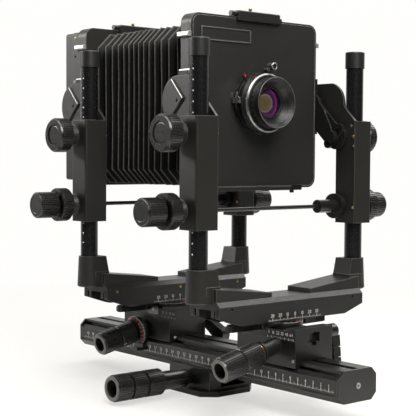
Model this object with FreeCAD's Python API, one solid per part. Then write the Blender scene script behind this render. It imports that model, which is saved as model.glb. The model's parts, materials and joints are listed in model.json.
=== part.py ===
import FreeCAD, Part
import math
import os

# Large-format view camera on an octagonal monorail.
# Units mm. +Z up, the lens looks towards -Y, X runs across the camera.
# Origin: centre of the tripod block's flat underside.
# "left" is the -X side and "right" the +X side, as seen by someone facing the lens.

V = FreeCAD.Vector

# ---- monorail and tripod block
RAIL_Z = 37.0
RAIL_HALF_W = 25.0
RAIL_HALF_H = 15.2
RAIL_CHAMFER = 6.5
RAIL_HALF_LENGTH = 207.0
CAP_THICK = 3.0
HEAD_HALF = 18.5
NECK_HALF = 15.0
BLOCK_HALF_X = 36.0
BLOCK_HALF_Y = 39.0
TRIPOD_THREAD_R = 4.76
TRIPOD_THREAD_DEPTH = 8.3
HANDLE_Z = 16.2

# ---- standards
FRONT_Y = -106.0
REAR_Y = 72.6
POST_X = 105.15
POST_R = 9.0
RACK_FLAT_Y = 8.4
POST_CAP_R = 10.0
POST_TOP_Z = 355.4
POST_CAP_H = 17.0
CARRIAGE_TOP_Z = 84.0
BAR_HALF_X = 97.0
BAR_HALF_Y = 21.4
BAR_BOTTOM_Z = 88.5
BAR_TOP_Z = 112.0
TOWER_TOP_Z = 142.0
LIFT_Z0 = 178.6
LIFT_Z1 = 283.8
LIFT_HALF_X = 12.7
LIFT_Y0 = -12.6
LIFT_Y1 = 13.6
LOCK_PIVOT_X = 31.5
LOCK_Z0 = 79.6
SHAFT_Y = 10.8
SHAFT_R = 2.0
TILT_KNOB_DEPTH = {-1: 15.6, 1: 9.4}
RISE_LOCK_THICK = 13.0
RISE_KNOB_END = {-1: 163.4, 1: 156.6}
RISE_Z = 196.0
TILT_KNOB_Z = 267.8
DROOP_DEG = 13.0

# ---- frames, lens and bellows
AXIS_Z = 299.8
FRAME_HALF = 84.9
FRAME_CORNER_R = 10.0
FRAME_Y0 = 36.2
FRAME_Y1 = 52.4
BOARD_THICK = 3.8
EAR_THICK = 2.6
QUADRANT_THICK = 3.4
PIVOT_Y = 44.3
RIDGE_HALF_X = 83.2
RIDGE_HALF_Z = 79.8
BELLOWS_Z = AXIS_Z - 2.7
PLEAT_DEPTH = 9.0
PLEATS = 14
GAP = 0.05

os.makedirs("parts", exist_ok=True)


def save(name, shape):
    shape.exportStep("parts/" + name + ".step")


def box(x0, x1, y0, y1, z0, z1):
    return Part.makeBox(x1 - x0, y1 - y0, z1 - z0, V(x0, y0, z0))


def rod(axis, r, a0, a1, u, v):
    """Cylinder along x, y or z from a0 to a1; u and v are the other two coordinates."""
    if axis == "x":
        return Part.makeCylinder(r, a1 - a0, V(a0, u, v), V(1, 0, 0))
    if axis == "y":
        return Part.makeCylinder(r, a1 - a0, V(u, a0, v), V(0, 1, 0))
    return Part.makeCylinder(r, a1 - a0, V(u, v, a0), V(0, 0, 1))


def taper(axis, r0, r1, a0, a1, u, v):
    if axis == "x":
        return Part.makeCone(r0, r1, a1 - a0, V(a0, u, v), V(1, 0, 0))
    if axis == "y":
        return Part.makeCone(r0, r1, a1 - a0, V(u, a0, v), V(0, 1, 0))
    return Part.makeCone(r0, r1, a1 - a0, V(u, v, a0), V(0, 0, 1))


def face_of(points):
    """Planar face from 3-D points; a pair of points in the list is an arc's middle and end."""
    edges = []
    here = points[0]
    for item in list(points[1:]) + [points[0]]:
        if isinstance(item, tuple):
            edges.append(Part.Arc(here, item[0], item[1]).toShape())
            here = item[1]
        else:
            if (item - here).Length > 1e-6:
                edges.append(Part.LineSegment(here, item).toShape())
            here = item
    return Part.Face(Part.Wire(edges))


def slab_x(outline, x0, x1):
    """Outline of (y, z) points pulled along X."""
    points = [lift_point(p, x0) for p in outline]
    return face_of(points).extrude(V(x1 - x0, 0, 0))


def lift_point(p, x0):
    if isinstance(p[0], tuple):
        return (V(x0, p[0][0], p[0][1]), V(x0, p[1][0], p[1][1]))
    return V(x0, p[0], p[1])


def slab_y(outline, y0, y1):
    """Outline of (x, z) points pulled along Y."""
    points = [V(x, y0, z) for x, z in outline]
    return face_of(points).extrude(V(0, y1 - y0, 0))


def slab_z(outline, z0, z1):
    """Outline of (x, y) points pulled along Z."""
    points = [V(x, y, z0) for x, y in outline]
    return face_of(points).extrude(V(0, 0, z1 - z0))


def octagon(half_x, half_z, cut_x, cut_z, zc):
    return [
        (-half_x, zc - half_z + cut_z),
        (-half_x + cut_x, zc - half_z),
        (half_x - cut_x, zc - half_z),
        (half_x, zc - half_z + cut_z),
        (half_x, zc + half_z - cut_z),
        (half_x - cut_x, zc + half_z),
        (-half_x + cut_x, zc + half_z),
        (-half_x, zc + half_z - cut_z),
    ]


def ribbed(r, depth, count, x0, x1, y, z):
    """Grip with straight ribs along X."""
    outline = []
    for i in range(count):
        for share, radius in ((0.0, r), (0.5, r), (0.62, r - depth), (0.88, r - depth)):
            a = 2 * math.pi * (i + share) / count
            outline.append((y + radius * math.cos(a), z + radius * math.sin(a)))
    return slab_x(outline, x0, x1)


def mirror_x(shape):
    return shape.mirror(V(0, 0, 0), V(1, 0, 0))


def both_sides(shape):
    """The same piece on the left and right, as two separate solids."""
    return Part.makeCompound([shape, mirror_x(shape)])


def side(shape, sign):
    """A piece drawn on the right side, put on the side asked for."""
    return shape if sign > 0 else mirror_x(shape)


def rounded_plate(half, corner, y0, y1, zc):
    plate = box(-half, half, y0, y1, zc - half, zc + half)
    edges = [e for e in plate.Edges if abs(e.Vertexes[0].Y - e.Vertexes[1].Y) > 0.5 * (y1 - y0)]
    return plate.makeFillet(corner, edges)


def edges_along_z(shape, length):
    found = []
    for e in shape.Edges:
        a = e.Vertexes[0].Point
        b = e.Vertexes[-1].Point
        if abs(abs(a.z - b.z) - length) < 1e-3 and abs(a.x - b.x) < 1e-6 and abs(a.y - b.y) < 1e-6:
            found.append(e)
    return found


# ---------------------------------------------------------------- rail and tripod block

def make_rail():
    h = RAIL_HALF_H
    c = RAIL_CHAMFER
    w = RAIL_HALF_W
    right = [
        (w - c, RAIL_Z - h),
        (w, RAIL_Z - h + c),
        (w, RAIL_Z + 6.1),
        (21.5, RAIL_Z + 9.6),
        (NECK_HALF, RAIL_Z + 9.6),
        (NECK_HALF, RAIL_Z + 12.6),
        (HEAD_HALF, RAIL_Z + 12.6),
        (HEAD_HALF, RAIL_Z + h),
    ]
    left = [(-x, z) for x, z in reversed(right)]
    body = slab_y(right + left, -RAIL_HALF_LENGTH, RAIL_HALF_LENGTH)
    groove_top = box(-4, 4, -RAIL_HALF_LENGTH, RAIL_HALF_LENGTH, RAIL_Z + h - 2.2, RAIL_Z + h)
    body = body.cut(groove_top)
    for x in (-w, w - 1.2):
        line = box(x, x + 1.2, -RAIL_HALF_LENGTH, RAIL_HALF_LENGTH, RAIL_Z - 8.3, RAIL_Z - 6.3)
        body = body.cut(line)
    for y in (-RAIL_HALF_LENGTH, RAIL_HALF_LENGTH - 14):
        body = body.cut(rod("y", 2.0, y, y + 14, 0, RAIL_Z))
    floor_z = RAIL_Z - 11.6
    roof_z = RAIL_Z + 3.0
    chamber = [(5.0, floor_z), (17.4, floor_z), (21.2, floor_z + 3.8), (21.2, roof_z), (5.0, roof_z)]
    hollow = slab_y(chamber, -RAIL_HALF_LENGTH, RAIL_HALF_LENGTH)
    save("rail", body.cut([hollow, mirror_x(hollow)]))


def make_rail_end_caps():
    caps = []
    outline = octagon(RAIL_HALF_W, RAIL_HALF_H, RAIL_CHAMFER, RAIL_CHAMFER, RAIL_Z)
    for y0 in (-RAIL_HALF_LENGTH - CAP_THICK, RAIL_HALF_LENGTH):
        cap = slab_y(outline, y0, y0 + CAP_THICK)
        caps.append(cap.cut(rod("y", 2.0 + GAP, y0, y0 + CAP_THICK, 0, RAIL_Z)))
    save("rail_end_caps", Part.makeCompound(caps))


def make_rail_end_screws():
    screws = []
    for sign in (-1, 1):
        y_face = sign * (RAIL_HALF_LENGTH + CAP_THICK)
        y_in = sign * (RAIL_HALF_LENGTH - 10)
        shank = rod("y", 1.95, min(y_face, y_in), max(y_face, y_in), 0, RAIL_Z)
        y_head = y_face + sign * 0.8
        head = rod("y", 2.9, min(y_face, y_head), max(y_face, y_head), 0, RAIL_Z)
        y_socket = y_head - sign * 1.6
        socket = rod("y", 1.2, min(y_head, y_socket), max(y_head, y_socket), 0, RAIL_Z)
        screws.append(shank.fuse(head).cut(socket).removeSplitter())
    save("rail_end_screws", Part.makeCompound(screws))


def make_tripod_block():
    cx = 14.0
    cy = 13.0
    foot_outline = [
        (-BLOCK_HALF_X, -BLOCK_HALF_Y + cy),
        (-BLOCK_HALF_X + cx, -BLOCK_HALF_Y),
        (BLOCK_HALF_X - cx, -BLOCK_HALF_Y),
        (BLOCK_HALF_X, -BLOCK_HALF_Y + cy),
        (BLOCK_HALF_X, BLOCK_HALF_Y - cy),
        (BLOCK_HALF_X - cx, BLOCK_HALF_Y),
        (-BLOCK_HALF_X + cx, BLOCK_HALF_Y),
        (-BLOCK_HALF_X, BLOCK_HALF_Y - cy),
    ]
    foot = slab_z(foot_outline, 0, 5.5)
    saddle = box(-17, 25.3, -BLOCK_HALF_Y + 6, BLOCK_HALF_Y - 6, 5.5, RAIL_Z - RAIL_HALF_H - GAP)
    window = box(-13, 20, -BLOCK_HALF_Y, -14, 8.5, 18.5)
    saddle = saddle.cut(window)
    saddle = saddle.cut(window.mirror(V(0, 0, 0), V(0, 1, 0)))
    z_low = RAIL_Z - RAIL_HALF_H
    c = RAIL_CHAMFER
    jaw_outline = [
        (18.5 + GAP * 2, z_low - GAP),
        (25.3, z_low - GAP),
        (29.5, z_low + 1.0),
        (29.5, z_low + c - 0.4),
        (25.0 + GAP, z_low + c - 0.4),
    ]
    jaw = slab_y(jaw_outline, -BLOCK_HALF_Y + 6, BLOCK_HALF_Y - 6)
    rib = box(25.2, 29.5, -BLOCK_HALF_Y + 6, BLOCK_HALF_Y - 6, 5.5, z_low + 1.0)
    block = foot.fuse([saddle, jaw, rib])
    block = block.cut(rod("x", 4.0 + GAP, -20, 16, 0, HANDLE_Z))
    block = block.cut(rod("z", TRIPOD_THREAD_R, 0, TRIPOD_THREAD_DEPTH, 0, 0))
    for y in (-24.0, 24.0):
        block = block.cut(rod("z", 2.6, 0, TRIPOD_THREAD_DEPTH, 0, y))
    save("tripod_block", block.removeSplitter())


def make_clamp_jaw():
    z_low = RAIL_Z - RAIL_HALF_H
    c = RAIL_CHAMFER
    outline = [
        (-18.5 - GAP * 2, z_low - GAP),
        (-25.0 - GAP, z_low + c - 0.4),
        (-28.5, z_low + c - 0.4),
        (-28.5, 5.5 + GAP),
        (-17.4, 5.5 + GAP),
        (-17.4, z_low - GAP),
    ]
    jaw = slab_y(outline, -BLOCK_HALF_Y + 6, BLOCK_HALF_Y - 6)
    jaw = jaw.cut(rod("x", 4.0 + GAP, -30, -16, 0, HANDLE_Z))
    save("clamp_jaw", jaw)


def make_clamp_handle():
    z = HANDLE_Z
    stem = rod("x", 9.6, -66, -36, 0, z)
    nose = taper("x", 9.6, 6.4, -36, -28.6, 0, z)
    thread = rod("x", 4.0, -29, 12, 0, z)
    grip = rod("x", 10.6, -127, -66, 0, z)
    for x0, x1 in ((-125.5, -109.5), (-107.0, -91.0), (-88.5, -69.0)):
        grip = grip.fuse(ribbed(12.9, 1.0, 30, x0, x1, 0, z))
    rim = rod("x", 12.6, -127.4, -125.5, 0, z)
    hollow = rod("x", 8.8, -127.4, -104, 0, z)
    handle = stem.fuse([nose, grip, rim]).cut(hollow)
    handle = handle.fuse(thread)
    save("clamp_handle", handle.removeSplitter())


# ---------------------------------------------------------------- standard, lower half

def droop_place(shape, y, z_at_side):
    """Turn a knob drawn along -X down by the droop angle and put it on the carriage's side."""
    placed = shape.copy()
    placed.rotate(V(0, 0, 0), V(0, 1, 0), -DROOP_DEG)
    placed.translate(V(-RAIL_HALF_W, y, z_at_side))
    return placed


def make_carriage(name, y_post, way, knob_y, knob_z, boss_len):
    """Carriage that rides on the rail's head; way is -1 when its long end points to the front."""
    ya = y_post + way * 47.5
    yb = y_post - way * 34.6
    y0 = min(ya, yb)
    y1 = max(ya, yb)
    w = RAIL_HALF_W
    outer = box(-w, w, y0, y1, 47.0, CARRIAGE_TOP_Z)
    head = box(-HEAD_HALF - 0.1, HEAD_HALF + 0.1, y0, y1, 49.5, RAIL_Z + RAIL_HALF_H + GAP)
    neck = box(-NECK_HALF - 0.1, NECK_HALF + 0.1, y0, y1, 47.0, 49.5)
    body = outer.cut(head).cut(neck)
    body = body.cut(box(-w, -w + 1.0, y0, y1, 72.6, 73.6))
    body = body.cut(box(w - 1.0, w, y0, y1, 72.6, 73.6))
    notch_y = min(ya, ya - way * 5.0)
    body = body.cut(box(-7.5, 7.5, notch_y, notch_y + 5.0, 70.0, 79.5))
    body = body.cut(box(-3.5, 3.5, notch_y, notch_y + 5.0, 66.5, 70.0))
    waist = box(-w, w, y0 + 12, y1 - 12, 79.0, CARRIAGE_TOP_Z)
    plinth = rod("z", 23.0, 79.0, CARRIAGE_TOP_Z, 0, y_post)
    body = body.cut(waist.cut(plinth))
    body = body.cut(rod("z", 8.0 + GAP, 74.0, CARRIAGE_TOP_Z, 0, y_post))
    boss = droop_place(rod("x", 8.0, -boss_len, 2.0, 0, 0), knob_y, knob_z)
    body = body.fuse(boss)
    bore = droop_place(rod("x", 4.0 + GAP, -boss_len - 1, 9.0, 0, 0), knob_y, knob_z)
    body = body.cut(bore)
    if way > 0:
        foot = box(-w - 11.0, -w - 0.4, knob_y - 5.0, knob_y + 5.0, 33.0, 36.0)
        strut = box(-w - 3.0, -w - 0.4, knob_y - 5.0, knob_y + 5.0, 33.0, 52.0)
        root = box(-w - 3.0, -w + 2.0, knob_y - 5.0, knob_y + 5.0, 49.6, 52.0)
        bracket = foot.fuse([strut, root])
        bracket = bracket.cut(droop_place(rod("x", 16.4, -14.0, -4.7, 0, 0), knob_y, knob_z))
        body = body.fuse(bracket)
    body = body.cut(rod("x", 2.5 + GAP, w - 12, w, *lever_pivot(y_post, way)))
    save(name, body.removeSplitter())


def lever_pivot(y_post, way):
    """Centre (y, z) of the focus lock lever's pivot."""
    return (y_post - 38.0, 76.5) if way < 0 else (y_post - 22.0, 66.0)


def make_focus_knob(name, knob_y, knob_z, start, end):
    length = end - start
    half = start + 0.49 * length
    core = rod("x", 10.4, -end, -start, 0, 0)
    grip_a = ribbed(11.6, 0.9, 24, -half + 1.0, -start - 1.0, 0, 0)
    grip_b = ribbed(11.6, 0.9, 24, -end + 1.4, -half - 1.0, 0, 0)
    rim = taper("x", 10.9, 11.5, -end, -end + 1.4, 0, 0)
    shaft = rod("x", 4.0, -start - 1, 6.5, 0, 0)
    hollow = rod("x", 7.6, -end, -end + 16, 0, 0)
    knob = core.fuse([grip_a, grip_b, rim]).cut(hollow).fuse(shaft)
    save(name, droop_place(knob.removeSplitter(), knob_y, knob_z))


def make_depth_ring(knob_y, knob_z):
    ring = rod("x", 16.0, -8.5, -5.0, 0, 0)
    ring = ring.fuse(taper("x", 13.6, 16.0, -13.0, -8.5, 0, 0))
    ring = ring.cut(rod("x", 8.0 + GAP, -14, -4, 0, 0))
    save("rear_depth_ring", droop_place(ring, knob_y, knob_z))


def make_focus_lock(name, y_post, way):
    """Hanging clamp lever with a ribbed, tapering grip."""
    y, z = lever_pivot(y_post, way)
    x0 = RAIL_HALF_W + GAP
    hub = rod("x", 7.0, x0, x0 + 12.0, y, z)
    pin = rod("x", 2.5, RAIL_HALF_W - 11, x0 + 1, y, z)
    top = z - 4.0
    grip = slab_x(
        [
            (y - 5.5, top),
            (y + 4.5, top),
            (y + 7.5, top - 32.0),
            ((y, top - 36.0), (y - 8.5, top - 32.0)),
        ],
        x0 + 5.0,
        x0 + 15.0,
    )
    for dz in (11.0, 21.0):
        groove = box(x0 + 4, x0 + 16, y - 10, y + 10, top - dz - 0.8, top - dz)
        core = box(x0 + 6.0, x0 + 14.0, y - 5.0, y + 4.5, top - dz - 0.8, top - dz)
        grip = grip.cut(groove.cut(core))
    lever = hub.fuse([pin, grip])
    if way > 0:
        lever.rotate(V(0, y, z), V(1, 0, 0), -62.0)
    save(name, lever.removeSplitter())


def make_swing_stage(name, y_post):
    """Turntable on the carriage, with the T-shaped slide that the shift bar runs on."""
    pivot = rod("z", 8.0, 74.5, CARRIAGE_TOP_Z + 0.5, 0, y_post)
    table = rod("z", 23.0, CARRIAGE_TOP_Z + GAP, 88.2, 0, y_post)
    neck = box(-38, 38, y_post - 11, y_post + 11, 86.0, 92.2)
    head = box(-38, 38, y_post - 15, y_post + 15, 92.2, 104.0)
    stage = pivot.fuse([table, neck, head])
    for x in (-LOCK_PIVOT_X, LOCK_PIVOT_X):
        stage = stage.cut(rod("z", 2.5 + GAP, 85.0, 90.5, x, y_post))
    save(name, stage.removeSplitter())


def make_stage_lock(name, y_post, sign, reach):
    """Flat lever under the shift bar, on a pin in the swing stage, with a rounded, turned-up tip."""
    top = LOCK_Z0 + 5.2
    x = LOCK_PIVOT_X
    hub = rod("z", 5.5, LOCK_Z0, 85.9, x, 0)
    pin = rod("z", 2.5, 85.0, 90.0, x, 0)
    arm = slab_z([(x, -5.0), (reach - 4.0, -4.2), (reach - 4.0, 4.2), (x, 5.0)], LOCK_Z0, top)
    tip = rod("z", 4.2, LOCK_Z0, top + 1.8, reach - 4.0, 0)
    lever = hub.fuse([pin, arm, tip]).removeSplitter()
    lever.translate(V(0, y_post, 0))
    save(name, side(lever, sign))


def make_shift_bar(name, y_post):
    half = BAR_HALF_X
    outline = [
        (-half, 97.0),
        (-71.0, BAR_BOTTOM_Z),
        (71.0, BAR_BOTTOM_Z),
        (half, 97.0),
        (half, BAR_TOP_Z),
        (-half, BAR_TOP_Z),
    ]
    bar = slab_y(outline, y_post - BAR_HALF_Y, y_post + BAR_HALF_Y)
    for sign in (-1, 1):
        y_edge = y_post + sign * BAR_HALF_Y
        cut = slab_x(
            [
                (y_edge, BAR_TOP_Z - 4.5),
                (y_edge + sign * 2.0, BAR_TOP_Z - 4.5),
                (y_edge + sign * 2.0, BAR_TOP_Z + 1),
                (y_edge - sign * 5.5, BAR_TOP_Z + 1),
                (y_edge - sign * 4.5, BAR_TOP_Z),
            ],
            -half,
            half,
        )
        bar = bar.cut(cut)
    bar = bar.cut(box(-half, half, y_post - 11.1, y_post + 11.1, 80.0, 92.1))
    bar = bar.cut(box(-half, half, y_post - 15.1, y_post + 15.1, 92.1, 104.1))
    for x in (-82.0, 0.0, 82.0):
        bar = bar.cut(rod("y", 1.3, y_post - BAR_HALF_Y, y_post - 16.0, x, 104.8))
    save(name, bar.removeSplitter())


def make_arms(name, y_post):
    """Wedge arm and tapered socket that carries one post, on each end of the bar."""
    z0 = BAR_TOP_Z
    arm = slab_y([(26.5, z0), (BAR_HALF_X, z0), (BAR_HALF_X, 124.2), (26.5, 116.4)], -16.3, 16.3)
    root = slab_y([(90.0, 110.0), (POST_X, 110.0), (POST_X, 126.0), (88.0, 126.0)], -12.2, 12.2)
    socket = taper("z", 12.4, 11.1, 111.2, TOWER_TOP_Z, POST_X, 0)
    socket = socket.fuse(taper("z", 11.2, 12.4, 110.0, 111.2, POST_X, 0))
    low = [(88.0, -11.9), (POST_X, -11.9), (POST_X, 11.9), (88.0, 11.9)]
    high = [(91.2, -11.0), (POST_X, -11.0), (POST_X, 11.0), (91.2, 11.0)]
    wires = []
    for outline, z in ((low, 124.0), (high, TOWER_TOP_Z)):
        points = [V(x, y, z) for x, y in outline]
        wires.append(Part.makePolygon(points + [points[0]]))
    cheek = Part.makeLoft(wires, True, True)
    piece = arm.fuse([root, socket, cheek])
    piece = piece.cut(box(80.0, BAR_HALF_X + GAP, -20.0, 20.0, 105.0, z0))
    piece = piece.cut(rod("z", POST_R, 112.0, TOWER_TOP_Z + 1, POST_X, 0))
    piece = piece.removeSplitter()
    piece.translate(V(0, y_post, 0))
    save(name, both_sides(piece))


def make_posts(name, y_post):
    """Hollow tubes with a flat down the back, where the rack for the rise pinions sits."""
    top = POST_TOP_Z - 3.0
    post = rod("z", POST_R, 112.0, top, POST_X, y_post)
    post = post.cut(rod("z", 6.3, 118.0, top, POST_X, y_post))
    flat_top = POST_TOP_Z - POST_CAP_H - 1.0
    y_flat = y_post + RACK_FLAT_Y
    post = post.cut(box(POST_X - 10, POST_X + 10, y_flat, y_flat + 5, TOWER_TOP_Z + 1, flat_top))
    save(name, both_sides(post))


def make_post_caps(name, y_post):
    z0 = POST_TOP_Z - POST_CAP_H
    cap = rod("z", POST_CAP_R, z0, POST_TOP_Z, POST_X, y_post)
    cap = cap.makeFillet(1.2, [e for e in cap.Edges if abs(e.BoundBox.ZMin - POST_TOP_Z) < 1e-4])
    cap = cap.cut(rod("z", POST_R, z0, POST_TOP_Z - 3.0, POST_X, y_post))
    save(name, both_sides(cap))


# ---------------------------------------------------------------- standard, lifting part

def tilt_ear():
    """Side plate that reaches up and back from the lift block to the tilt pivot."""
    r = 24.0
    zc = AXIS_Z
    return [
        (LIFT_Y0, 222.0),
        (LIFT_Y0, LIFT_Z1),
        (2.5, 299.0),
        (3.4, 305.0),
        ((9.3, 317.6), (20.0, zc + r)),
        (PIVOT_Y, zc + r),
        ((PIVOT_Y + r, zc), (PIVOT_Y, zc - r)),
        (LIFT_Y1, zc - r),
        (LIFT_Y1, 222.0),
    ]


def make_lift_blocks(name, y_post):
    inner = POST_X - LIFT_HALF_X
    outer = POST_X + LIFT_HALF_X
    block = box(inner, outer, LIFT_Y0, LIFT_Y1, LIFT_Z0, LIFT_Z1)
    upright = [e for e in edges_along_z(block, LIFT_Z1 - LIFT_Z0) if e.Vertexes[0].X > POST_X]
    block = block.makeFillet(1.8, upright)
    ear_outer = inner + EAR_THICK
    ear = slab_x(tilt_ear(), inner, ear_outer)
    cover = slab_x(
        [
            (34.3, AXIS_Z + 2.5),
            (51.1, AXIS_Z + 20.6),
            ((64.6, AXIS_Z + 2.0), (52.6, AXIS_Z - 16.0)),
        ],
        ear_outer,
        ear_outer + 2.0,
    )
    piece = block.fuse([ear, cover])
    for z, collar in ((RISE_Z, 8.6), (TILT_KNOB_Z, 9.4)):
        piece = piece.fuse(taper("x", 10.6, collar, outer, outer + 8.8, SHAFT_Y, z))
    for z in (RISE_Z, TILT_KNOB_Z):
        piece = piece.cut(rod("x", SHAFT_R + GAP, inner - 5, outer + 10, SHAFT_Y, z))
    piece = piece.cut(rod("z", POST_R + GAP, LIFT_Z0 - 1, AXIS_Z + 30, POST_X, 0))
    piece = piece.cut(rod("x", 4.0 + GAP, inner - 1, inner + 2.4, PIVOT_Y, AXIS_Z))
    piece = piece.cut(rod("x", 1.5, ear_outer + 1.0, ear_outer + 2.5, PIVOT_Y - 1.4, AXIS_Z))
    piece = piece.removeSplitter()
    piece.translate(V(0, y_post, 0))
    save(name, both_sides(piece))


def make_rise_drive(name, y_post):
    """Cross shaft with a small knob on each end, a coupling sleeve and a boss disc."""
    y = y_post + SHAFT_Y
    z = RISE_Z
    shaft = rod("x", SHAFT_R, -150, 150, y, z)
    pieces = []
    for sign in (-1, 1):
        neck = rod("x", 9.0, 139.4, 142.4, y, z)
        end = RISE_KNOB_END[sign]
        grip = ribbed(12.7, 0.8, 28, 142.4, end - 1.2, y, z)
        face = taper("x", 12.4, 11.6, end - 1.2, end, y, z)
        knob = neck.fuse([grip, face])
        pieces.append(side(knob, sign))
    pieces.append(rod("x", 6.8, 62.0, 86.0, y, z))
    pieces.append(rod("x", 13.0, 86.0, 91.8, y, z))
    pieces.append(rod("x", 4.6, -91.8, -87.0, y, z))
    save(name, shaft.fuse(pieces).removeSplitter())


def make_rise_lock(name, y_post, sign):
    y = y_post + SHAFT_Y
    z = RISE_Z
    x0 = POST_X + LIFT_HALF_X + 8.8 + GAP
    x1 = x0 + RISE_LOCK_THICK
    ring = ribbed(16.5, 0.7, 36, x0 + 0.8, x1 - 0.8, y, z)
    ring = ring.fuse([rod("x", 15.9, x0, x0 + 0.8, y, z), rod("x", 15.9, x1 - 0.8, x1, y, z)])
    ring = ring.cut(rod("x", SHAFT_R + GAP, x0 - 1, x1 + 1, y, z))
    ring = ring.cut(rod("x", 12.6, x1 - 2.5, x1 + 1, y, z))
    save(name, side(ring.removeSplitter(), sign))


def make_tilt_knob(name, y_post, sign, nut_x):
    """Dished knob on a screw through the lift block, with a friction disc and, at nut_x, its nut."""
    y = y_post + SHAFT_Y
    z = TILT_KNOB_Z
    x0 = POST_X + LIFT_HALF_X + 8.8 + GAP
    reach = TILT_KNOB_DEPTH[sign]
    grip = ribbed(16.9, 1.3, 22, x0 + 1.2, x0 + reach - 1.8, y, z)
    back = taper("x", 14.6, 15.6, x0, x0 + 1.2, y, z)
    rim = taper("x", 16.4, 15.6, x0 + reach - 1.8, x0 + reach, y, z)
    dish = rod("x", 10.6, x0 + reach - 1.6, x0 + reach + 0.1, y, z)
    screw = rod("x", SHAFT_R, nut_x + 0.4, x0 + 1, y, z)
    nut = rod("x", 6.0, nut_x, FRAME_HALF, y, z)
    disc_start = FRAME_HALF + QUADRANT_THICK + 3 * GAP
    disc = rod("x", 13.0, disc_start, POST_X - LIFT_HALF_X - GAP, y, z)
    knob = grip.fuse([back, rim]).cut(dish).fuse([screw, nut, disc])
    save(name, side(knob.removeSplitter(), sign))


def make_tilt_quadrants(name, y_post):
    """Slotted plate on each side of the frame; the tilt knob's screw runs in its slot."""
    x0 = FRAME_HALF + GAP
    x1 = x0 + QUADRANT_THICK
    dy = SHAFT_Y - PIVOT_Y
    dz = TILT_KNOB_Z - AXIS_Z
    reach = math.hypot(dy, dz)
    mid = math.atan2(dz, dy)
    slot = math.radians(13.3)

    def at(r, a):
        return (PIVOT_Y + r * math.cos(a), AXIS_Z + r * math.sin(a))

    outer = reach + 5.0
    fan = [
        (PIVOT_Y + 6.0, AXIS_Z - 12.0),
        (PIVOT_Y - 4.0, AXIS_Z + 12.0),
        at(outer, mid - slot),
        (at(outer, mid), at(outer, mid + slot)),
    ]
    plate = slab_x(fan, x0, x1)
    strip = box(x0, x1, PIVOT_Y - 7.0, PIVOT_Y + 7.0, AXIS_Z - 29.0, AXIS_Z + 29.0)
    hub = rod("x", 14.0, x0, x1, PIVOT_Y, AXIS_Z)
    ends = []
    for a in (mid - slot, mid + slot):
        c = at(reach, a)
        ends.append(rod("x", 5.0, x0, x1, c[0], c[1]))
    plate = plate.fuse([strip, hub] + ends)
    thin = [(28.2, AXIS_Z + 4.0), (10.5, 268.6), (-20.0, 268.6), (-20.0, 330.0), (28.2, 330.0)]
    plate = plate.cut(slab_x(thin, x0 - 1, x0 + 1.5))
    ra = reach - SHAFT_R - 0.2
    rb = reach + SHAFT_R + 0.2
    window = slab_x(
        [
            at(ra, mid - slot),
            (at(ra, mid), at(ra, mid + slot)),
            at(rb, mid + slot),
            (at(rb, mid), at(rb, mid - slot)),
        ],
        x0 - 1,
        x1 + 1,
    )
    plate = plate.cut(window)
    for a in (mid - slot, mid + slot):
        c = at(reach, a)
        plate = plate.cut(rod("x", SHAFT_R + 0.2, x0 - 1, x1 + 1, c[0], c[1]))
    pin = rod("x", 4.0, x1 - 1.0, POST_X - LIFT_HALF_X + 2.2, PIVOT_Y, AXIS_Z)
    plate = plate.fuse(pin).removeSplitter()
    plate.translate(V(0, y_post, 0))
    save(name, both_sides(plate))


def make_frame(name, y_post, y_front):
    """Square frame with rounded corners and a square opening."""
    frame = rounded_plate(FRAME_HALF, FRAME_CORNER_R, y_post + y_front, y_post + FRAME_Y1, AXIS_Z)
    opening = octagon(70.0, 70.0, 8.0, 8.0, AXIS_Z)
    frame = frame.cut(slab_y(opening, y_post + y_front - 1, y_post + FRAME_Y1 + 1))
    ledge_y0 = y_post + 32.4
    if y_front > FRAME_Y0:
        ledge = box(-61, 61, ledge_y0, y_post + 41.0, AXIS_Z - 87.3, AXIS_Z - 85.0)
        lip = box(-61, 61, ledge_y0, y_post + FRAME_Y0 - GAP, AXIS_Z - 87.3, AXIS_Z - 83.3)
        post = box(-61, 61, y_post + 40.05, y_post + 46.0, AXIS_Z - 87.3, AXIS_Z - 80.0)
        frame = frame.fuse([ledge, lip, post])
    save(name, frame.removeSplitter())


def make_frame_lugs(name, y_post):
    x0 = FRAME_HALF
    upper = box(x0, x0 + 4.2, y_post + FRAME_Y0, y_post + 54.0, 361.2, 366.0)
    upper = upper.makeFillet(1.2, [e for e in upper.Edges if abs(e.BoundBox.XMin - x0 - 4.2) < 1e-4])
    save(name, both_sides(upper))


def make_top_lock(name, y_post, board):
    """Sliding catch along the top edge of a frame, with a small finger stud."""
    y0 = y_post + 32.2
    z0 = AXIS_Z + 81.2
    front = box(-28.0, 28.0, y0, y_post + FRAME_Y0 - GAP, z0, z0 + 9.6)
    top = box(-28.0, 28.0, y0, y_post + 47.0, AXIS_Z + FRAME_HALF + 0.3, z0 + 9.6)
    lock = front.fuse(top).removeSplitter()
    lock = lock.makeChamfer(0.8, [e for e in lock.Edges if abs(e.BoundBox.ZMin - z0 - 9.6) < 1e-4])
    stud = rod("z", 1.6, z0 + 9.0, z0 + 12.8, -6.0, y_post + 40.0)
    roller = rod("x", 2.6, -35.0, -28.0, y_post + 37.0, z0 + 6.6)
    tab = box(28.0, 31.5, y0 + 1.0, y_post + FRAME_Y0 - GAP, z0 + 0.6, z0 + 5.4)
    lock = lock.fuse([stud, roller, tab])
    if not board:
        lock.translate(V(-14.0, 0, 0))
    save(name, lock.removeSplitter())


# ---------------------------------------------------------------- lens and board

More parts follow.
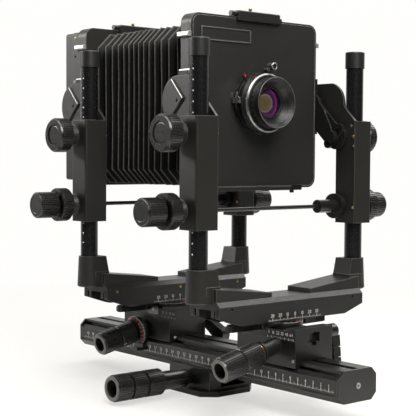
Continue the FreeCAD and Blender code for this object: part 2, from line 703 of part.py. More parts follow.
def make_lens_board():
    y0 = FRONT_Y + FRAME_Y0
    board = rounded_plate(FRAME_HALF, FRAME_CORNER_R, y0, y0 + BOARD_THICK, AXIS_Z)
    rim = [e for e in board.Edges if abs(e.BoundBox.YMax - y0) < 1e-4]
    board = board.makeChamfer(0.9, rim)
    board = board.cut(rod("y", 20.9, y0 - 1, y0 + 6, 0, AXIS_Z))
    save("lens_board", board)


def make_name_plate():
    y1 = FRONT_Y + FRAME_Y0 - 0.02
    outer = box(-73.2, -9.0, y1 - 1.0, y1, 358.9, 372.0)
    inner = box(-71.8, -10.4, y1 - 1.0, y1 - 0.5, 360.3, 370.6)
    save("name_plate", outer.cut(inner))


def make_shutter():
    y = FRONT_Y
    z = AXIS_Z
    body = rod("y", 31.0, y + 23.8, y + FRAME_Y0 - 0.02, 0, z)
    core = rod("y", 27.0, y + 17.6, y + 23.8, 0, z)
    tail = rod("y", 20.85, y + 36.0, y + 44.5, 0, z)
    nut = rod("y", 26.0, y + 40.02, y + 43.5, 0, z)
    shutter = body.fuse([core, tail, nut])
    for y0, y1 in ((26.6, 29.2), (31.4, 34.0)):
        groove = rod("y", 32.0, y + y0, y + y1, 0, z).cut(rod("y", 28.6, y + y0, y + y1, 0, z))
        shutter = shutter.cut(groove)
    shutter = shutter.cut(rod("y", 16.05, y + 10, y + 50, 0, z))
    for a in (200.0, 330.0):
        x = 29.0 * math.cos(math.radians(a))
        dz = 29.0 * math.sin(math.radians(a))
        shutter = shutter.cut(rod("y", 0.9, y + 23.8, y + 25.4, x, z + dz))
    save("shutter_body", shutter.removeSplitter())


def make_lens_barrel():
    y = FRONT_Y
    z = AXIS_Z
    front = taper("y", 25.6, 24.6, y + 6.5, y + 13.0, 0, z)
    front = front.fuse(rod("y", 25.2, y + 13.0, y + 17.5, 0, z))
    front = front.fuse(rod("y", 16.0, y + 17.5, y + 23.0, 0, z))
    cone = taper("y", 24.6, 15.6, y + 6.5, y + 17.2, 0, z)
    front = front.cut(cone).cut(rod("y", 14.4, y + 17.0, y + 24.0, 0, z))
    rear = rod("y", 16.0, y + 36.0, y + 46.0, 0, z)
    rear = rear.fuse(rod("y", 19.0, y + 46.0, y + 56.0, 0, z))
    rear = rear.cut(rod("y", 13.0, y + 35.0, y + 57.0, 0, z))
    save("lens_barrel", Part.makeCompound([front.removeSplitter(), rear.removeSplitter()]))


def make_lens_glass():
    """Front and rear elements, each a disc with one domed face."""
    elements = []
    for y0, y1, r, way in ((17.0, 22.6, 14.3, -1), (50.0, 55.0, 12.9, 1)):
        bulge = 2.4
        ball_r = (r * r + bulge * bulge) / (2 * bulge)
        tip = FRONT_Y + (y0 if way < 0 else y1)
        ball = Part.makeSphere(ball_r, V(0, tip - way * ball_r, AXIS_Z))
        elements.append(rod("y", r, FRONT_Y + y0, FRONT_Y + y1, 0, AXIS_Z).common(ball))
    save("lens_glass", Part.makeCompound(elements))


def make_speed_ring():
    y0 = FRONT_Y + 18.0
    ring = rod("y", 29.2, y0, y0 + 5.7, 0, AXIS_Z)
    ring = ring.makeChamfer(1.2, [e for e in ring.Edges if abs(e.BoundBox.YMax - y0) < 1e-4])
    save("speed_ring", ring.cut(rod("y", 27.0 + GAP, y0 - 1, y0 + 7, 0, AXIS_Z)))


def shutter_lever(y0, y1, angle, reach, width, lug=0.0):
    """Arc-shaped foot in a groove of the shutter, with an arm and a lug that comes forward from it."""
    foot = rod("y", 30.9, y0, y1, 0, 0).cut(rod("y", 28.7, y0, y1, 0, 0))
    foot = foot.common(box(20, 40, y0, y1, -width * 1.5, width * 1.5))
    arm = box(29.5, reach, y0, y1, -width / 2, width / 2)
    arm = arm.fuse(box(31.3, reach, y0 - lug, y1, -width / 2, width / 2))
    lever = foot.fuse(arm).removeSplitter()
    lever.rotate(V(0, 0, 0), V(0, 1, 0), -angle)
    lever.translate(V(0, FRONT_Y, AXIS_Z))
    return lever


def make_aperture_lever():
    save("aperture_lever", shutter_lever(26.7, 29.1, 132.0, 38.0, 5.0))


def make_cocking_lever():
    save("cocking_lever", shutter_lever(31.5, 33.9, 176.5, 34.4, 6.0, 7.0))


def make_flash_post():
    y = FRONT_Y
    arm = box(3.0, 9.5, y + 25.0, y + 26.5, AXIS_Z + 30.6, AXIS_Z + 35.0)
    socket = rod("y", 3.9, y + 18.5, y + 26.5, 8.0, AXIS_Z + 36.8)
    socket = socket.cut(rod("y", 2.4, y + 18.5, y + 25.0, 8.0, AXIS_Z + 36.8))
    pin = rod("y", 0.8, y + 20.0, y + 25.5, 8.0, AXIS_Z + 36.8)
    stub = rod("y", 2.0, y + 21.0, y + 26.5, 2.2, AXIS_Z + 33.2)
    post = arm.fuse([socket, pin, stub])
    post = post.cut(rod("y", 31.0, y + 20, y + 36, 0, AXIS_Z))
    save("flash_post", post.removeSplitter())


# ---------------------------------------------------------------- bellows and back

def section(half_x, half_z, y):
    outline = octagon(half_x, half_z, 16.0, 15.6, BELLOWS_Z)
    points = [V(x, y, z) for x, z in outline]
    return Part.makePolygon(points + [points[0]])


def make_bellows():
    """Pleated light-tight sleeve, drawn as a thin zigzag shell of closed pleats."""
    y_start = FRONT_Y + FRAME_Y1 + 2.0
    y_end = REAR_Y + FRAME_Y0 - 2.0
    first = FRONT_Y + 60.7
    last = FRONT_Y + 195.4
    ridges = []
    for i in range(PLEATS):
        u = 2.0 * i / (PLEATS - 1) - 1.0
        ridges.append((first + last) / 2 + (last - first) / 2 * (0.8 * u + 0.2 * u ** 3))
    stations = [(y_start, 1.0)]
    for i, y in enumerate(ridges):
        if i > 0:
            stations.append(((y + ridges[i - 1]) / 2, 1.0))
        stations.append((y, 0.0))
    stations.append((y_end, 1.0))

    def skin(inset):
        wires = []
        for y, valley in stations:
            drop = valley * PLEAT_DEPTH + inset
            wires.append(section(RIDGE_HALF_X - drop, RIDGE_HALF_Z - drop, y))
        return Part.makeLoft(wires, True, True)

    sleeve = skin(0.0).cut(skin(1.4))
    ends = [collar(y_start - 2.0), collar(y_end)]
    save("bellows", sleeve.fuse(ends).removeSplitter())


def collar(y0):
    """Stiff end frame of the bellows."""
    plate = slab_y(octagon(77.0, 72.8, 16.0, 15.6, BELLOWS_Z), y0, y0 + 2.0)
    return plate.cut(slab_y(octagon(69.0, 64.8, 16.0, 15.6, BELLOWS_Z), y0 - 1, y0 + 3))


def make_back_frame():
    y0 = REAR_Y + FRAME_Y1 + 0.02
    back = box(-84.0, 84.0, y0, y0 + 11.4, AXIS_Z - 80.0, AXIS_Z + 81.2)
    back = back.makeFillet(3.0, [e for e in back.Edges if abs(e.Vertexes[0].Y - e.Vertexes[1].Y) > 5])
    back = back.cut(box(-64, 64, y0 - 1, y0 + 12, AXIS_Z - 51, AXIS_Z + 51))
    for sign in (-1, 1):
        for dz in (-55.0, 55.0):
            x = sign * 84.0
            x_in = x - sign * 3
            back = back.cut(rod("x", 1.4, min(x, x_in), max(x, x_in), y0 + 6, AXIS_Z + dz))
    save("back_frame", back)


def make_ground_glass_frame():
    y0 = REAR_Y + FRAME_Y1 + 11.5
    frame = box(-83.6, 83.6, y0, y0 + 13.4, AXIS_Z - 79.6, AXIS_Z + 80.8)
    frame = frame.makeFillet(3.0, [e for e in frame.Edges if abs(e.Vertexes[0].Y - e.Vertexes[1].Y) > 5])
    frame = frame.cut(box(-63.5, 63.5, y0 - 1, y0 + 14, AXIS_Z - 51, AXIS_Z + 51))
    frame = frame.cut(box(-66.1, 66.1, y0 + 2.0, y0 + 4.1, AXIS_Z - 53.6, AXIS_Z + 53.6))
    save("ground_glass_frame", frame)


def make_ground_glass():
    y0 = REAR_Y + FRAME_Y1 + 13.55
    save("ground_glass", box(-66.0, 66.0, y0, y0 + 2.0, AXIS_Z - 53.5, AXIS_Z + 53.5))


def make_standard(prefix, y_post, way):
    front = way < 0
    knob_y = y_post - 21.0 if front else y_post + 14.0
    knob_z = 65.8 if front else 57.1
    start = 24.0 if front else 14.0
    end = 72.9 if front else 58.5
    make_carriage(prefix + "_carriage", y_post, way, knob_y, knob_z, 22.0 if front else 4.6)
    make_focus_knob(prefix + "_focus_knob", knob_y, knob_z, start, end)
    if not front:
        make_depth_ring(knob_y, knob_z)
    make_focus_lock(prefix + "_focus_lock", y_post, way)
    make_swing_stage(prefix + "_swing_stage", y_post)
    make_shift_bar(prefix + "_shift_bar", y_post)
    make_arms(prefix + "_arms", y_post)
    make_posts(prefix + "_posts", y_post)
    make_post_caps(prefix + "_post_caps", y_post)
    make_stage_lock(prefix + "_swing_lock", y_post, -1, 68.0)
    make_stage_lock(prefix + "_shift_lock", y_post, 1, 60.0)
    make_lift_blocks(prefix + "_lift_blocks", y_post)
    nut_x = 80.05 if front else RIDGE_HALF_X + 0.3
    for word, sign in (("left", -1), ("right", 1)):
        make_rise_lock(prefix + "_" + word + "_rise_lock", y_post, sign)
        make_tilt_knob(prefix + "_" + word + "_tilt_knob", y_post, sign, nut_x)
    make_rise_drive(prefix + "_rise_drive", y_post)
    make_tilt_quadrants(prefix + "_tilt_quadrants", y_post)
    make_frame(prefix + "_frame", y_post, FRAME_Y0 + (BOARD_THICK + 0.02 if front else 0.0))
    make_frame_lugs(prefix + "_frame_lugs", y_post)


make_rail()
make_rail_end_caps()
make_rail_end_screws()
make_tripod_block()
make_clamp_jaw()
make_clamp_handle()
make_standard("front", FRONT_Y, -1)
make_standard("rear", REAR_Y, 1)
make_top_lock("front_board_lock", FRONT_Y, True)
make_top_lock("rear_back_lock", REAR_Y, False)
make_lens_board()
make_name_plate()
make_shutter()
make_lens_barrel()
make_lens_glass()
make_speed_ring()
make_aperture_lever()
make_cocking_lever()
make_flash_post()
make_bellows()
make_back_frame()
make_ground_glass_frame()
make_ground_glass()
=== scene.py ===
import json
from math import cos, hypot, pi, radians, sin

import bmesh
import bpy
from mathutils import Matrix, Vector, noise

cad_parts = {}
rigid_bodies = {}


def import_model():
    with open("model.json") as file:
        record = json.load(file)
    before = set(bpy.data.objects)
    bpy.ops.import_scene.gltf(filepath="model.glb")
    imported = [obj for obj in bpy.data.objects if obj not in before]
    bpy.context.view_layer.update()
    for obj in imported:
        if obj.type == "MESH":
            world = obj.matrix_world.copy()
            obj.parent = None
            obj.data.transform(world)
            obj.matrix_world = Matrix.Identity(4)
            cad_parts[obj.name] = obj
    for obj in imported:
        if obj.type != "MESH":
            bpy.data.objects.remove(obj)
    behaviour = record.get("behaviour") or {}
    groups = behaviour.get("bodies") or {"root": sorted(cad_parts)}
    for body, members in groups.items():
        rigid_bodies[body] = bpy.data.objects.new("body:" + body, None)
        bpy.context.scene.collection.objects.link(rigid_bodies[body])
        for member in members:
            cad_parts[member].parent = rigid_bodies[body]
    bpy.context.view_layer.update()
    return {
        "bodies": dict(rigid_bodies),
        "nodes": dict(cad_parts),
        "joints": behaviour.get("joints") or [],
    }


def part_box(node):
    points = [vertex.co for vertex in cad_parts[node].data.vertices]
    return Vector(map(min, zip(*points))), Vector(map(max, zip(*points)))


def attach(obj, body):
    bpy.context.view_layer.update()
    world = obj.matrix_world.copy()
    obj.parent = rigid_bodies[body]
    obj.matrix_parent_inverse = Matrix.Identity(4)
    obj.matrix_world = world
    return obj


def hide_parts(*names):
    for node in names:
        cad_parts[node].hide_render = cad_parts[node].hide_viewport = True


# Looks of a large-format view camera. Metres; +Z up, the lens looks towards -Y, left is -X.

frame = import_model()

MM = 0.001
NODES = frame["nodes"]
X = Vector((1, 0, 0))
Y = Vector((0, 1, 0))
Z = Vector((0, 0, 1))
LIFT = 0.06 * MM    # how far painted marks stand off the metal


# ---------------- material helpers

def feed(tree, node, inputs):
    """Sets or links a node's inputs; each socket is given by its name or index."""
    for socket, value in inputs.items():
        if isinstance(value, bpy.types.NodeSocket):
            tree.links.new(value, node.inputs[socket])
        else:
            node.inputs[socket].default_value = value


def add(tree, kind, inputs=None, **settings):
    """Adds a shader node with its settings and inputs."""
    node = tree.nodes.new("ShaderNode" + kind)
    for key, value in settings.items():
        setattr(node, key, value)
    feed(tree, node, inputs or {})
    return node


def material(name):
    """(material, its node tree, its shader, texture place in metres of the row frame)."""
    mat = bpy.data.materials.new(name)
    mat.use_nodes = True
    tree = mat.node_tree
    return mat, tree, tree.nodes["Principled BSDF"], add(tree, "TexCoord").outputs["Object"]


def grains(tree, place, size, detail=3.0, stretch=None):
    """Noise whose features are about size metres across, drawn out by stretch."""
    if stretch:
        place = add(tree, "Mapping", {"Vector": place, "Scale": stretch}).outputs[0]
    inputs = {"Vector": place, "Scale": 1.0 / size, "Detail": detail, "Roughness": 0.6}
    return add(tree, "TexNoise", inputs).outputs["Fac"]


def between(tree, value, low, high, out_low=0.0, out_high=1.0):
    """Maps low..high to out_low..out_high and holds the ends."""
    inputs = {"Value": value, "From Min": low, "From Max": high, "To Min": out_low, "To Max": out_high}
    return add(tree, "MapRange", inputs).outputs["Result"]


def times(tree, a, b):
    return add(tree, "Math", {0: a, 1: b}, operation="MULTIPLY").outputs[0]


def dot(tree, a, b):
    return add(tree, "VectorMath", {0: a, 1: b}, operation="DOT_PRODUCT").outputs["Value"]


def distance(tree, place):
    return add(tree, "VectorMath", {0: place}, operation="LENGTH").outputs["Value"]


def blend(tree, share, a, b):
    """Colour a where share is 0, and b where it is 1."""
    return add(tree, "Mix", {0: share, 6: a, 7: b}, data_type="RGBA").outputs[2]


def rgba(colour, gain=1.0):
    return (colour[0] * gain, colour[1] * gain, colour[2] * gain, 1.0)


def edge_mask(tree, radius):
    """(rounded normal, mask along sharp outer edges), for rubbed paint there and a painted highlight along
    them.
    """
    rounded = add(tree, "Bevel", {"Radius": radius}, samples=4).outputs[0]
    normal = add(tree, "NewGeometry").outputs["Normal"]
    return rounded, between(tree, dot(tree, rounded, normal), 0.985, 0.86)


def surface(name, base, rough, edge, rub_and_highlight, grain, relief, radius, more):
    """A painted, moulded or plated finish: fine relief, cloudy colour and roughness, and rubbed edges with
    a painted highlight.

    more may hold metal and coat weights, the grain's stretch, the share of mottle, and soft,
    which is how far edges look rounded. Sizes are in millimetres."""
    mat, tree, shader, place = material(name)
    mottle = more.get("mottle", 0.18)
    fine = grains(tree, place, grain * MM, 3.0, more.get("stretch"))
    cloud = grains(tree, place, 28 * MM, 4.0)
    speck = grains(tree, place, 3.2 * MM, 5.0)
    rounded, edges = edge_mask(tree, radius * MM)
    if "soft" in more:
        rounded = add(tree, "Bevel", {"Radius": more["soft"] * MM}, samples=6).outputs[0]
    tone = blend(tree, cloud, rgba(base, 1 - mottle), rgba(base, 1 + mottle))
    tone = blend(tree, between(tree, fine, 0.35, 0.75, 0.0, 0.35), tone, rgba(base, 1.7))
    # Paler colour along sharp edges: rubbed paint, and a painted highlight where the edges catch the
    # light.
    rubbed_and_highlit = times(tree, edges, between(tree, speck, 0.3, 0.62, rub_and_highlight * 0.45, rub_and_highlight))
    bump = {"Height": fine, "Distance": relief * MM, "Strength": 1.0, "Normal": rounded}
    feed(tree, shader, {
        "Base Color": blend(tree, rubbed_and_highlit, tone, rgba(edge or base)),
        "Roughness": between(tree, speck, 0.25, 0.75, rough - 0.06, rough + 0.07),
        "Normal": add(tree, "Bump", bump).outputs[0],
        "Metallic": more.get("metal", 0.0),
        "Coat Weight": more.get("coat", 0.0),
        "Coat Roughness": 0.12,
    })
    return mat


def leatherette():
    """Black bellows cloth: pebbled grain, paler and smoother on the crests of the folds, rubbed there and
    with a painted highlight.
    """
    mat, tree, shader, place = material("leatherette")
    inputs = {"Vector": place, "Scale": 1.0 / (1.1 * MM), "Randomness": 0.9}
    pebble = add(tree, "TexVoronoi", inputs, feature="SMOOTH_F1").outputs["Distance"]
    cloud = grains(tree, place, 22 * MM, 4.0)
    rub = grains(tree, place, 4 * MM, 4.0)
    crest = add(tree, "Attribute", attribute_name="crest").outputs["Fac"]
    tone = blend(tree, cloud, rgba((0.0018, 0.0018, 0.0018)), rgba((0.0036, 0.0035, 0.0033)))
    # Paler colour on the crests of the folds: rubbed cloth, and a painted highlight on the ridges.
    share = times(tree, between(tree, crest, 0.88, 1.0), between(tree, rub, 0.25, 0.7, 0.45, 1.0))
    feed(tree, shader, {
        "Base Color": blend(tree, share, tone, rgba((0.15, 0.145, 0.13))),
        "Roughness": between(tree, rub, 0.2, 0.8, 0.45, 0.6),
        "Specular IOR Level": 0.12,
        "Normal": add(tree, "Bump", {"Height": pebble, "Distance": 0.06 * MM, "Strength": 0.8}).outputs[0],
        "Sheen Weight": 0.01,
    })
    return mat


def coated_glass():
    """Front element: a dark mirror-like dome, with painted reflections of its coatings, amber in the
    middle and violet towards its edge.
    """
    mat, tree, shader, place = material("coated_glass")
    low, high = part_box("lens_glass")
    centre = (low + high) / 2
    offset = Vector((centre.x - 5.2 * MM, low.y, centre.z - 0.3 * MM))
    flat = add(tree, "VectorMath", {0: place, 1: tuple(offset)}, operation="SUBTRACT").outputs[0]
    squash = add(tree, "VectorMath", {0: flat, 1: (1.0, 0.0, 1.0)}, operation="MULTIPLY").outputs[0]
    cloud = grains(tree, place, 6 * MM, 2.0)
    share = between(tree, distance(tree, squash), 0.0, 21 * MM)
    painted_reflection = add(tree, "ValToRGB", {"Fac": share})
    ramp = painted_reflection.color_ramp
    # Painted reflections of the coatings: amber middle, a pale ring, then violet and magenta rings towards
    # the edge, centred off to the left.
    stops = (
        (0.0, (0.070, 0.058, 0.026)),
        (0.34, (0.095, 0.072, 0.036)),
        (0.415, (0.17, 0.14, 0.12)),
        (0.45, (0.030, 0.012, 0.030)),
        (0.60, (0.035, 0.010, 0.060)),
        (0.74, (0.16, 0.018, 0.10)),
        (0.84, (0.022, 0.008, 0.040)),
        (1.0, (0.004, 0.004, 0.006)),
    )
    while len(ramp.elements) < len(stops):
        ramp.elements.new(0.5)
    for element, (at, colour) in zip(ramp.elements, stops):
        element.position = at
        element.color = rgba(colour)
    bloom = between(tree, cloud, 0.3, 0.7, 0.0, 0.25)
    feed(tree, shader, {
        "Base Color": blend(tree, bloom, painted_reflection.outputs[0], rgba((0.01, 0.008, 0.012))),
        "Roughness": 0.06,
        "IOR": 1.6,
        "Specular Tint": (0.85, 0.45, 0.85, 1.0),
        "Coat Weight": 0.35,
        "Coat Roughness": 0.02,
    })
    return mat


def frosted_glass():
    """Ground glass: pale, finely ground, with a soft grey-green body."""
    mat, tree, shader, place = material("frosted_glass")
    fine = grains(tree, place, 0.25 * MM, 2.0)
    cloud = grains(tree, place, 40 * MM, 3.0)
    feed(tree, shader, {
        "Base Color": blend(tree, cloud, rgba((0.20, 0.21, 0.20)), rgba((0.30, 0.31, 0.30))),
        "Roughness": between(tree, fine, 0.2, 0.8, 0.30, 0.45),
        "Normal": add(tree, "Bump", {"Height": fine, "Distance": 0.01 * MM, "Strength": 0.6}).outputs[0],
    })
    return mat


ALONG_X = (0.02, 1.0, 1.0)
ALONG_Y = (1.0, 0.02, 1.0)
# Base colour, roughness, colour of the rubbed edges, which is also a painted highlight, and how strong it
# is; grain, relief and edge radius in mm.
FINISHES = {
    "casting": ((0.012, 0.0118, 0.0102), 0.42, (0.3, 0.29, 0.25), 0.7, 0.55, 0.024, 0.5, {"soft": 1.3}),
    "board": ((0.0135, 0.0132, 0.0122), 0.42, (0.16, 0.155, 0.14), 0.7, 0.35, 0.016, 0.5, {}),
    "anodised": ((0.007, 0.0069, 0.0064), 0.33, (0.22, 0.21, 0.19), 0.5, 0.3, 0.008, 0.4,
                 {"stretch": ALONG_Y}),
    "bar": ((0.012, 0.0118, 0.0108), 0.38, (0.26, 0.25, 0.22), 0.5, 0.3, 0.008, 0.4, {"stretch": ALONG_X}),
    "tube": ((0.006, 0.006, 0.0064), 0.24, (0.08, 0.08, 0.08), 0.4, 0.35, 0.0015, 0.3,
             {"stretch": (1.0, 1.0, 0.02), "coat": 0.25}),
    "knob": ((0.008, 0.0078, 0.0073), 0.3, (0.16, 0.155, 0.14), 0.35, 0.25, 0.003, 0.25, {"coat": 0.25}),
    "rubber": ((0.01, 0.01, 0.0102), 0.42, (0.05, 0.05, 0.05), 0.4, 0.3, 0.012, 0.5, {}),
    "blacked": ((0.01, 0.01, 0.01), 0.36, (0.25, 0.25, 0.24), 0.6, 0.25, 0.006, 0.3, {"metal": 0.3}),
    "lens_black": ((0.006, 0.006, 0.0062), 0.36, (0.16, 0.16, 0.16), 0.5, 0.2, 0.002, 0.3, {}),
    # Lighter grey for raised bevels and rims: a painted highlight.
    "highlight_rim": ((0.06, 0.058, 0.052), 0.32, (0.42, 0.41, 0.37), 0.95, 0.25, 0.004, 0.5, {}),
    "satin": ((0.26, 0.26, 0.25), 0.3, (0.7, 0.7, 0.68), 0.6, 0.2, 0.003, 0.25, {"metal": 1.0}),
    "rim_grey": ((0.105, 0.102, 0.092), 0.36, (0.5, 0.48, 0.44), 0.5, 0.25, 0.004, 0.25, {"metal": 0.4}),
    "aluminium": ((0.66, 0.65, 0.6), 0.34, (0.85, 0.84, 0.8), 0.5, 0.3, 0.006, 0.4,
                  {"metal": 0.85, "stretch": (1.0, 1.0, 0.05)}),
    "chrome": ((0.62, 0.62, 0.6), 0.24, (0.85, 0.85, 0.83), 0.5, 0.2, 0.003, 0.25, {"metal": 1.0}),
    "zinc": ((0.34, 0.33, 0.31), 0.33, (0.6, 0.6, 0.56), 0.5, 0.2, 0.005, 0.2, {"metal": 0.9}),
    "zinc_dark": ((0.13, 0.13, 0.125), 0.35, (0.5, 0.5, 0.48), 0.6, 0.2, 0.005, 0.2, {"metal": 0.8}),
    "brass": ((0.55, 0.38, 0.17), 0.3, (0.8, 0.6, 0.3), 0.5, 0.2, 0.004, 0.2, {"metal": 1.0}),
    "copper": ((0.52, 0.22, 0.09), 0.28, (0.8, 0.45, 0.25), 0.5, 0.2, 0.004, 0.2, {"metal": 1.0}),
    "white_paint": ((0.66, 0.65, 0.6), 0.6, None, 0.0, 0.15, 0.0, 0.45, {"mottle": 0.1}),
    "grey_paint": ((0.26, 0.255, 0.24), 0.6, None, 0.0, 0.15, 0.0, 0.45, {"mottle": 0.1}),
    "red_paint": ((0.5, 0.015, 0.012), 0.5, None, 0.0, 0.15, 0.0, 0.45, {"mottle": 0.1}),
    "smoked": ((0.075, 0.074, 0.064), 0.16, None, 0.0, 0.8, 0.0, 0.45, {"mottle": 0.3, "coat": 0.6}),
    "level_yellow": ((0.46, 0.47, 0.34), 0.15, None, 0.0, 0.5, 0.0, 0.45, {"coat": 0.6}),
    # Near black: printed lines and numbers and dark joints, and also painted shade inside holes and
    # cavities.
    "dark_paint_and_shade": ((0.003, 0.003, 0.003), 0.7, None, 0.0, 0.5, 0.01, 0.45, {}),
}
LOOKS = {name: surface(name, *finish) for name, finish in FINISHES.items()}
LOOKS.update(leatherette=leatherette(), coated_glass=coated_glass(), frosted_glass=frosted_glass())
NODE_LOOKS = {
    "anodised": ["rail", "rail_end_caps", "tripod_block", "clamp_jaw"],
    "bar": ["front_board_lock", "rear_back_lock"],
    "knob": ["clamp_handle"],
    "zinc": ["rail_end_screws"],
    "board": ["lens_board", "name_plate", "back_frame", "ground_glass_frame"],
    "lens_black": ["shutter_body", "lens_barrel", "aperture_lever"],
    "chrome": ["cocking_lever"],
    "satin": ["speed_ring"],
    "zinc_dark": ["flash_post"],
    "coated_glass": ["lens_glass"],
    "frosted_glass": ["ground_glass"],
    "leatherette": ["bellows"],
    "blacked": ["rear_depth_ring"],
}
STANDARD_LOOKS = {
    "anodised": ["carriage", "swing_stage"],
    "bar": ["shift_bar"],
    "knob": ["focus_knob", "focus_lock", "left_rise_lock", "right_rise_lock", "left_tilt_knob",
             "right_tilt_knob", "rise_drive"],
    "casting": ["arms", "lift_blocks", "frame"],
    "tube": ["posts"],
    "rubber": ["post_caps"],
    "blacked": ["tilt_quadrants", "swing_lock", "shift_lock"],
    "aluminium": ["frame_lugs"],
}
for look, parts in STANDARD_LOOKS.items():
    NODE_LOOKS.setdefault(look, [])
    for prefix in ("front_", "rear_"):
        NODE_LOOKS[look] += [prefix + part for part in parts]


def paint_cad_nodes():
    for look, names in NODE_LOOKS.items():
        for name in names:
            mesh = NODES[name].data
            mesh.materials.clear()
            mesh.materials.append(LOOKS[look])
            for polygon in mesh.polygons:
                polygon.material_index = 0


# ---------------- mesh helpers

def new_object(name, data):
    obj = bpy.data.objects.new(name, data)
    bpy.context.scene.collection.objects.link(obj)
    return obj


def new_mesh(name, bm):
    mesh = bpy.data.meshes.new(name)
    bm.to_mesh(mesh)
    bm.free()
    return mesh


def piece(name, bm, look, body, smooth_angle=35.0, bevel=0.0):
    """Turns a bmesh into a named piece that rides on a CAD body."""
    bmesh.ops.recalc_face_normals(bm, faces=bm.faces)
    mesh = new_mesh(name, bm)
    obj = new_object(name, mesh)
    mesh.materials.append(LOOKS[look])
    if smooth_angle:
        mesh.shade_smooth()
        mesh.set_sharp_from_angle(angle=radians(smooth_angle))
    if bevel:
        modifier = obj.modifiers.new("soft edges", "BEVEL")
        modifier.width = bevel * MM
        modifier.segments = 2
        modifier.limit_method = "ANGLE"
        modifier.angle_limit = radians(40)
    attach(obj, body)
    return obj


def turned(bm, outline, origin, axis, steps=56):
    """Sweeps an outline of (radius, distance along the axis) points, in mm, round the axis."""
    turn = Vector(axis).to_track_quat("Z", "Y").to_matrix()
    rings = []
    for radius, along in outline:
        ring = []
        for i in range(steps if radius > 1e-6 else 1):
            a = 2 * pi * i / steps
            spot = Vector((radius * cos(a), radius * sin(a), along)) * MM
            ring.append(bm.verts.new(Vector(origin) + turn @ spot))
        rings.append(ring)
    for low, high in zip(rings, rings[1:]):
        for i in range(steps):
            j = (i + 1) % steps
            corners = [low[i % len(low)], low[j % len(low)], high[j % len(high)], high[i % len(high)]]
            unique = list(dict.fromkeys(corners))
            if len(unique) > 2:
                bm.faces.new(unique)


def turned_piece(name, look, body, outline, origin, axis, steps=56, **options):
    """One turned outline as a piece of its own."""
    bm = bmesh.new()
    turned(bm, outline, origin, axis, steps)
    return piece(name, bm, look, body, **options)


def block(bm, low, high):
    """Box between two opposite corners given in metres."""
    low, high = (Vector(corner) for corner in zip(*(sorted(pair) for pair in zip(low, high))))
    place = Matrix.Translation((low + high) / 2) @ Matrix.Diagonal((*(high - low), 1.0))
    bmesh.ops.create_cube(bm, size=1.0, matrix=place)


def skin(bm, rings):
    """Quads between each closed ring of vertices and the next one."""
    for low, high in zip(rings, rings[1:]):
        for i in range(len(low)):
            j = (i + 1) % len(low)
            bm.faces.new((low[i], low[j], high[j], high[i]))


def prism(bm, outline, start, end):
    """Closed outline of points pulled from the offset start to the offset end."""
    low = [bm.verts.new(Vector(p) + Vector(start)) for p in outline]
    high = [bm.verts.new(Vector(p) + Vector(end)) for p in outline]
    bm.faces.new(low)
    bm.faces.new(high)
    skin(bm, (low, high))


def screw(bm, spot, axis, radius, height=0.8, sink=0.6):
    """Round screw head with a rounded edge and a socket; sizes in mm."""
    soft = min(0.3, height * 0.5)
    outline = [
        (radius, -0.2),
        (radius, height - soft),
        (radius - soft * 0.4, height - soft * 0.3),
        (radius - soft, height),
        (radius * 0.52, height),
        (radius * 0.48, height - 0.05),
        (radius * 0.45, height - sink),
        (0.0, height - sink),
    ]
    turned(bm, outline, spot, axis, 20)


def digit_shapes():
    """Triangulated outlines of the digits, one unit high, from Blender's own font."""
    shapes = {}
    for mark in "0123456789":
        curve = bpy.data.curves.new("digit", "FONT")
        curve.body = mark
        curve.size = 1.4
        curve.resolution_u = 3
        text = new_object("digit", curve)
        bpy.context.view_layer.update()
        mesh = text.to_mesh()
        points = [v.co.copy() for v in mesh.vertices]
        faces = [tuple(p.vertices) for p in mesh.polygons]
        text.to_mesh_clear()
        bpy.data.objects.remove(text)
        bpy.data.curves.remove(curve)
        left = min(p.x for p in points)
        width = max(p.x for p in points) - left
        shapes[mark] = ([(p.x - left, p.y) for p in points], faces, width)
    return shapes


DIGITS = digit_shapes()


class Marks:
    """Painted ticks, dots and numbers; place turns (u, v) in mm into a point in the row frame."""

    def __init__(self, place):
        self.place = place
        self.bm = bmesh.new()

    def face(self, points):
        self.bm.faces.new([self.bm.verts.new(self.place(u, v)) for u, v in points])

    def tick(self, u, v, width, height):
        w = width / 2
        h = height / 2
        self.face([(u - w, v - h), (u + w, v - h), (u + w, v + h), (u - w, v + h)])

    def dot(self, u, v, radius, sides=12):
        angles = [2 * pi * i / sides for i in range(sides)]
        self.face([(u + radius * cos(a), v + radius * sin(a)) for a in angles])

    def number(self, value, u, v, height):
        marks = str(value)
        gap = 0.14
        total = sum(DIGITS[m][2] for m in marks) + gap * (len(marks) - 1)
        at = -total / 2
        for mark in marks:
            points, faces, width = DIGITS[mark]
            spots = [self.place(u + (at + x) * height, v + (y - 0.5) * height) for x, y in points]
            verts = [self.bm.verts.new(spot) for spot in spots]
            for face in faces:
                self.bm.faces.new([verts[i] for i in face])
            at += width + gap

    def finish(self, name, body, look="white_paint"):
        return piece(name, self.bm, look, body, smooth_angle=0)


def on_plane(origin, right, up):
    """Marks on a flat face; origin in metres, right and up as seen by someone facing it."""
    out = right.cross(up) * LIFT
    return lambda u, v: Vector(origin) + out + right * (u * MM) + up * (v * MM)


def on_round(origin, axis, start, radius, slope=0.0):
    """Marks round a drum or cone: u is an angle in degrees from start, v a distance along the axis in mm.

    radius in mm is at v = 0 and grows by slope for each mm of v."""
    axis = Vector(axis).normalized()
    start = Vector(start).normalized()
    side = axis.cross(start)

    def place(u, v):
        a = radians(u)
        out = start * cos(a) + side * sin(a)
        return Vector(origin) + axis * (v * MM) + out * ((radius + slope * v) * MM + LIFT)

    return place


# ---------------- places taken from the frame

def middle(node):
    low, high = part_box(node)
    return (low + high) / 2


def outer_face(node, sign):
    """X of a node's right face where sign is positive, else of its left face."""
    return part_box(node)[1 if sign > 0 else 0].x


def joint(name):
    return next(j for j in frame["joints"] if j["name"] == name)


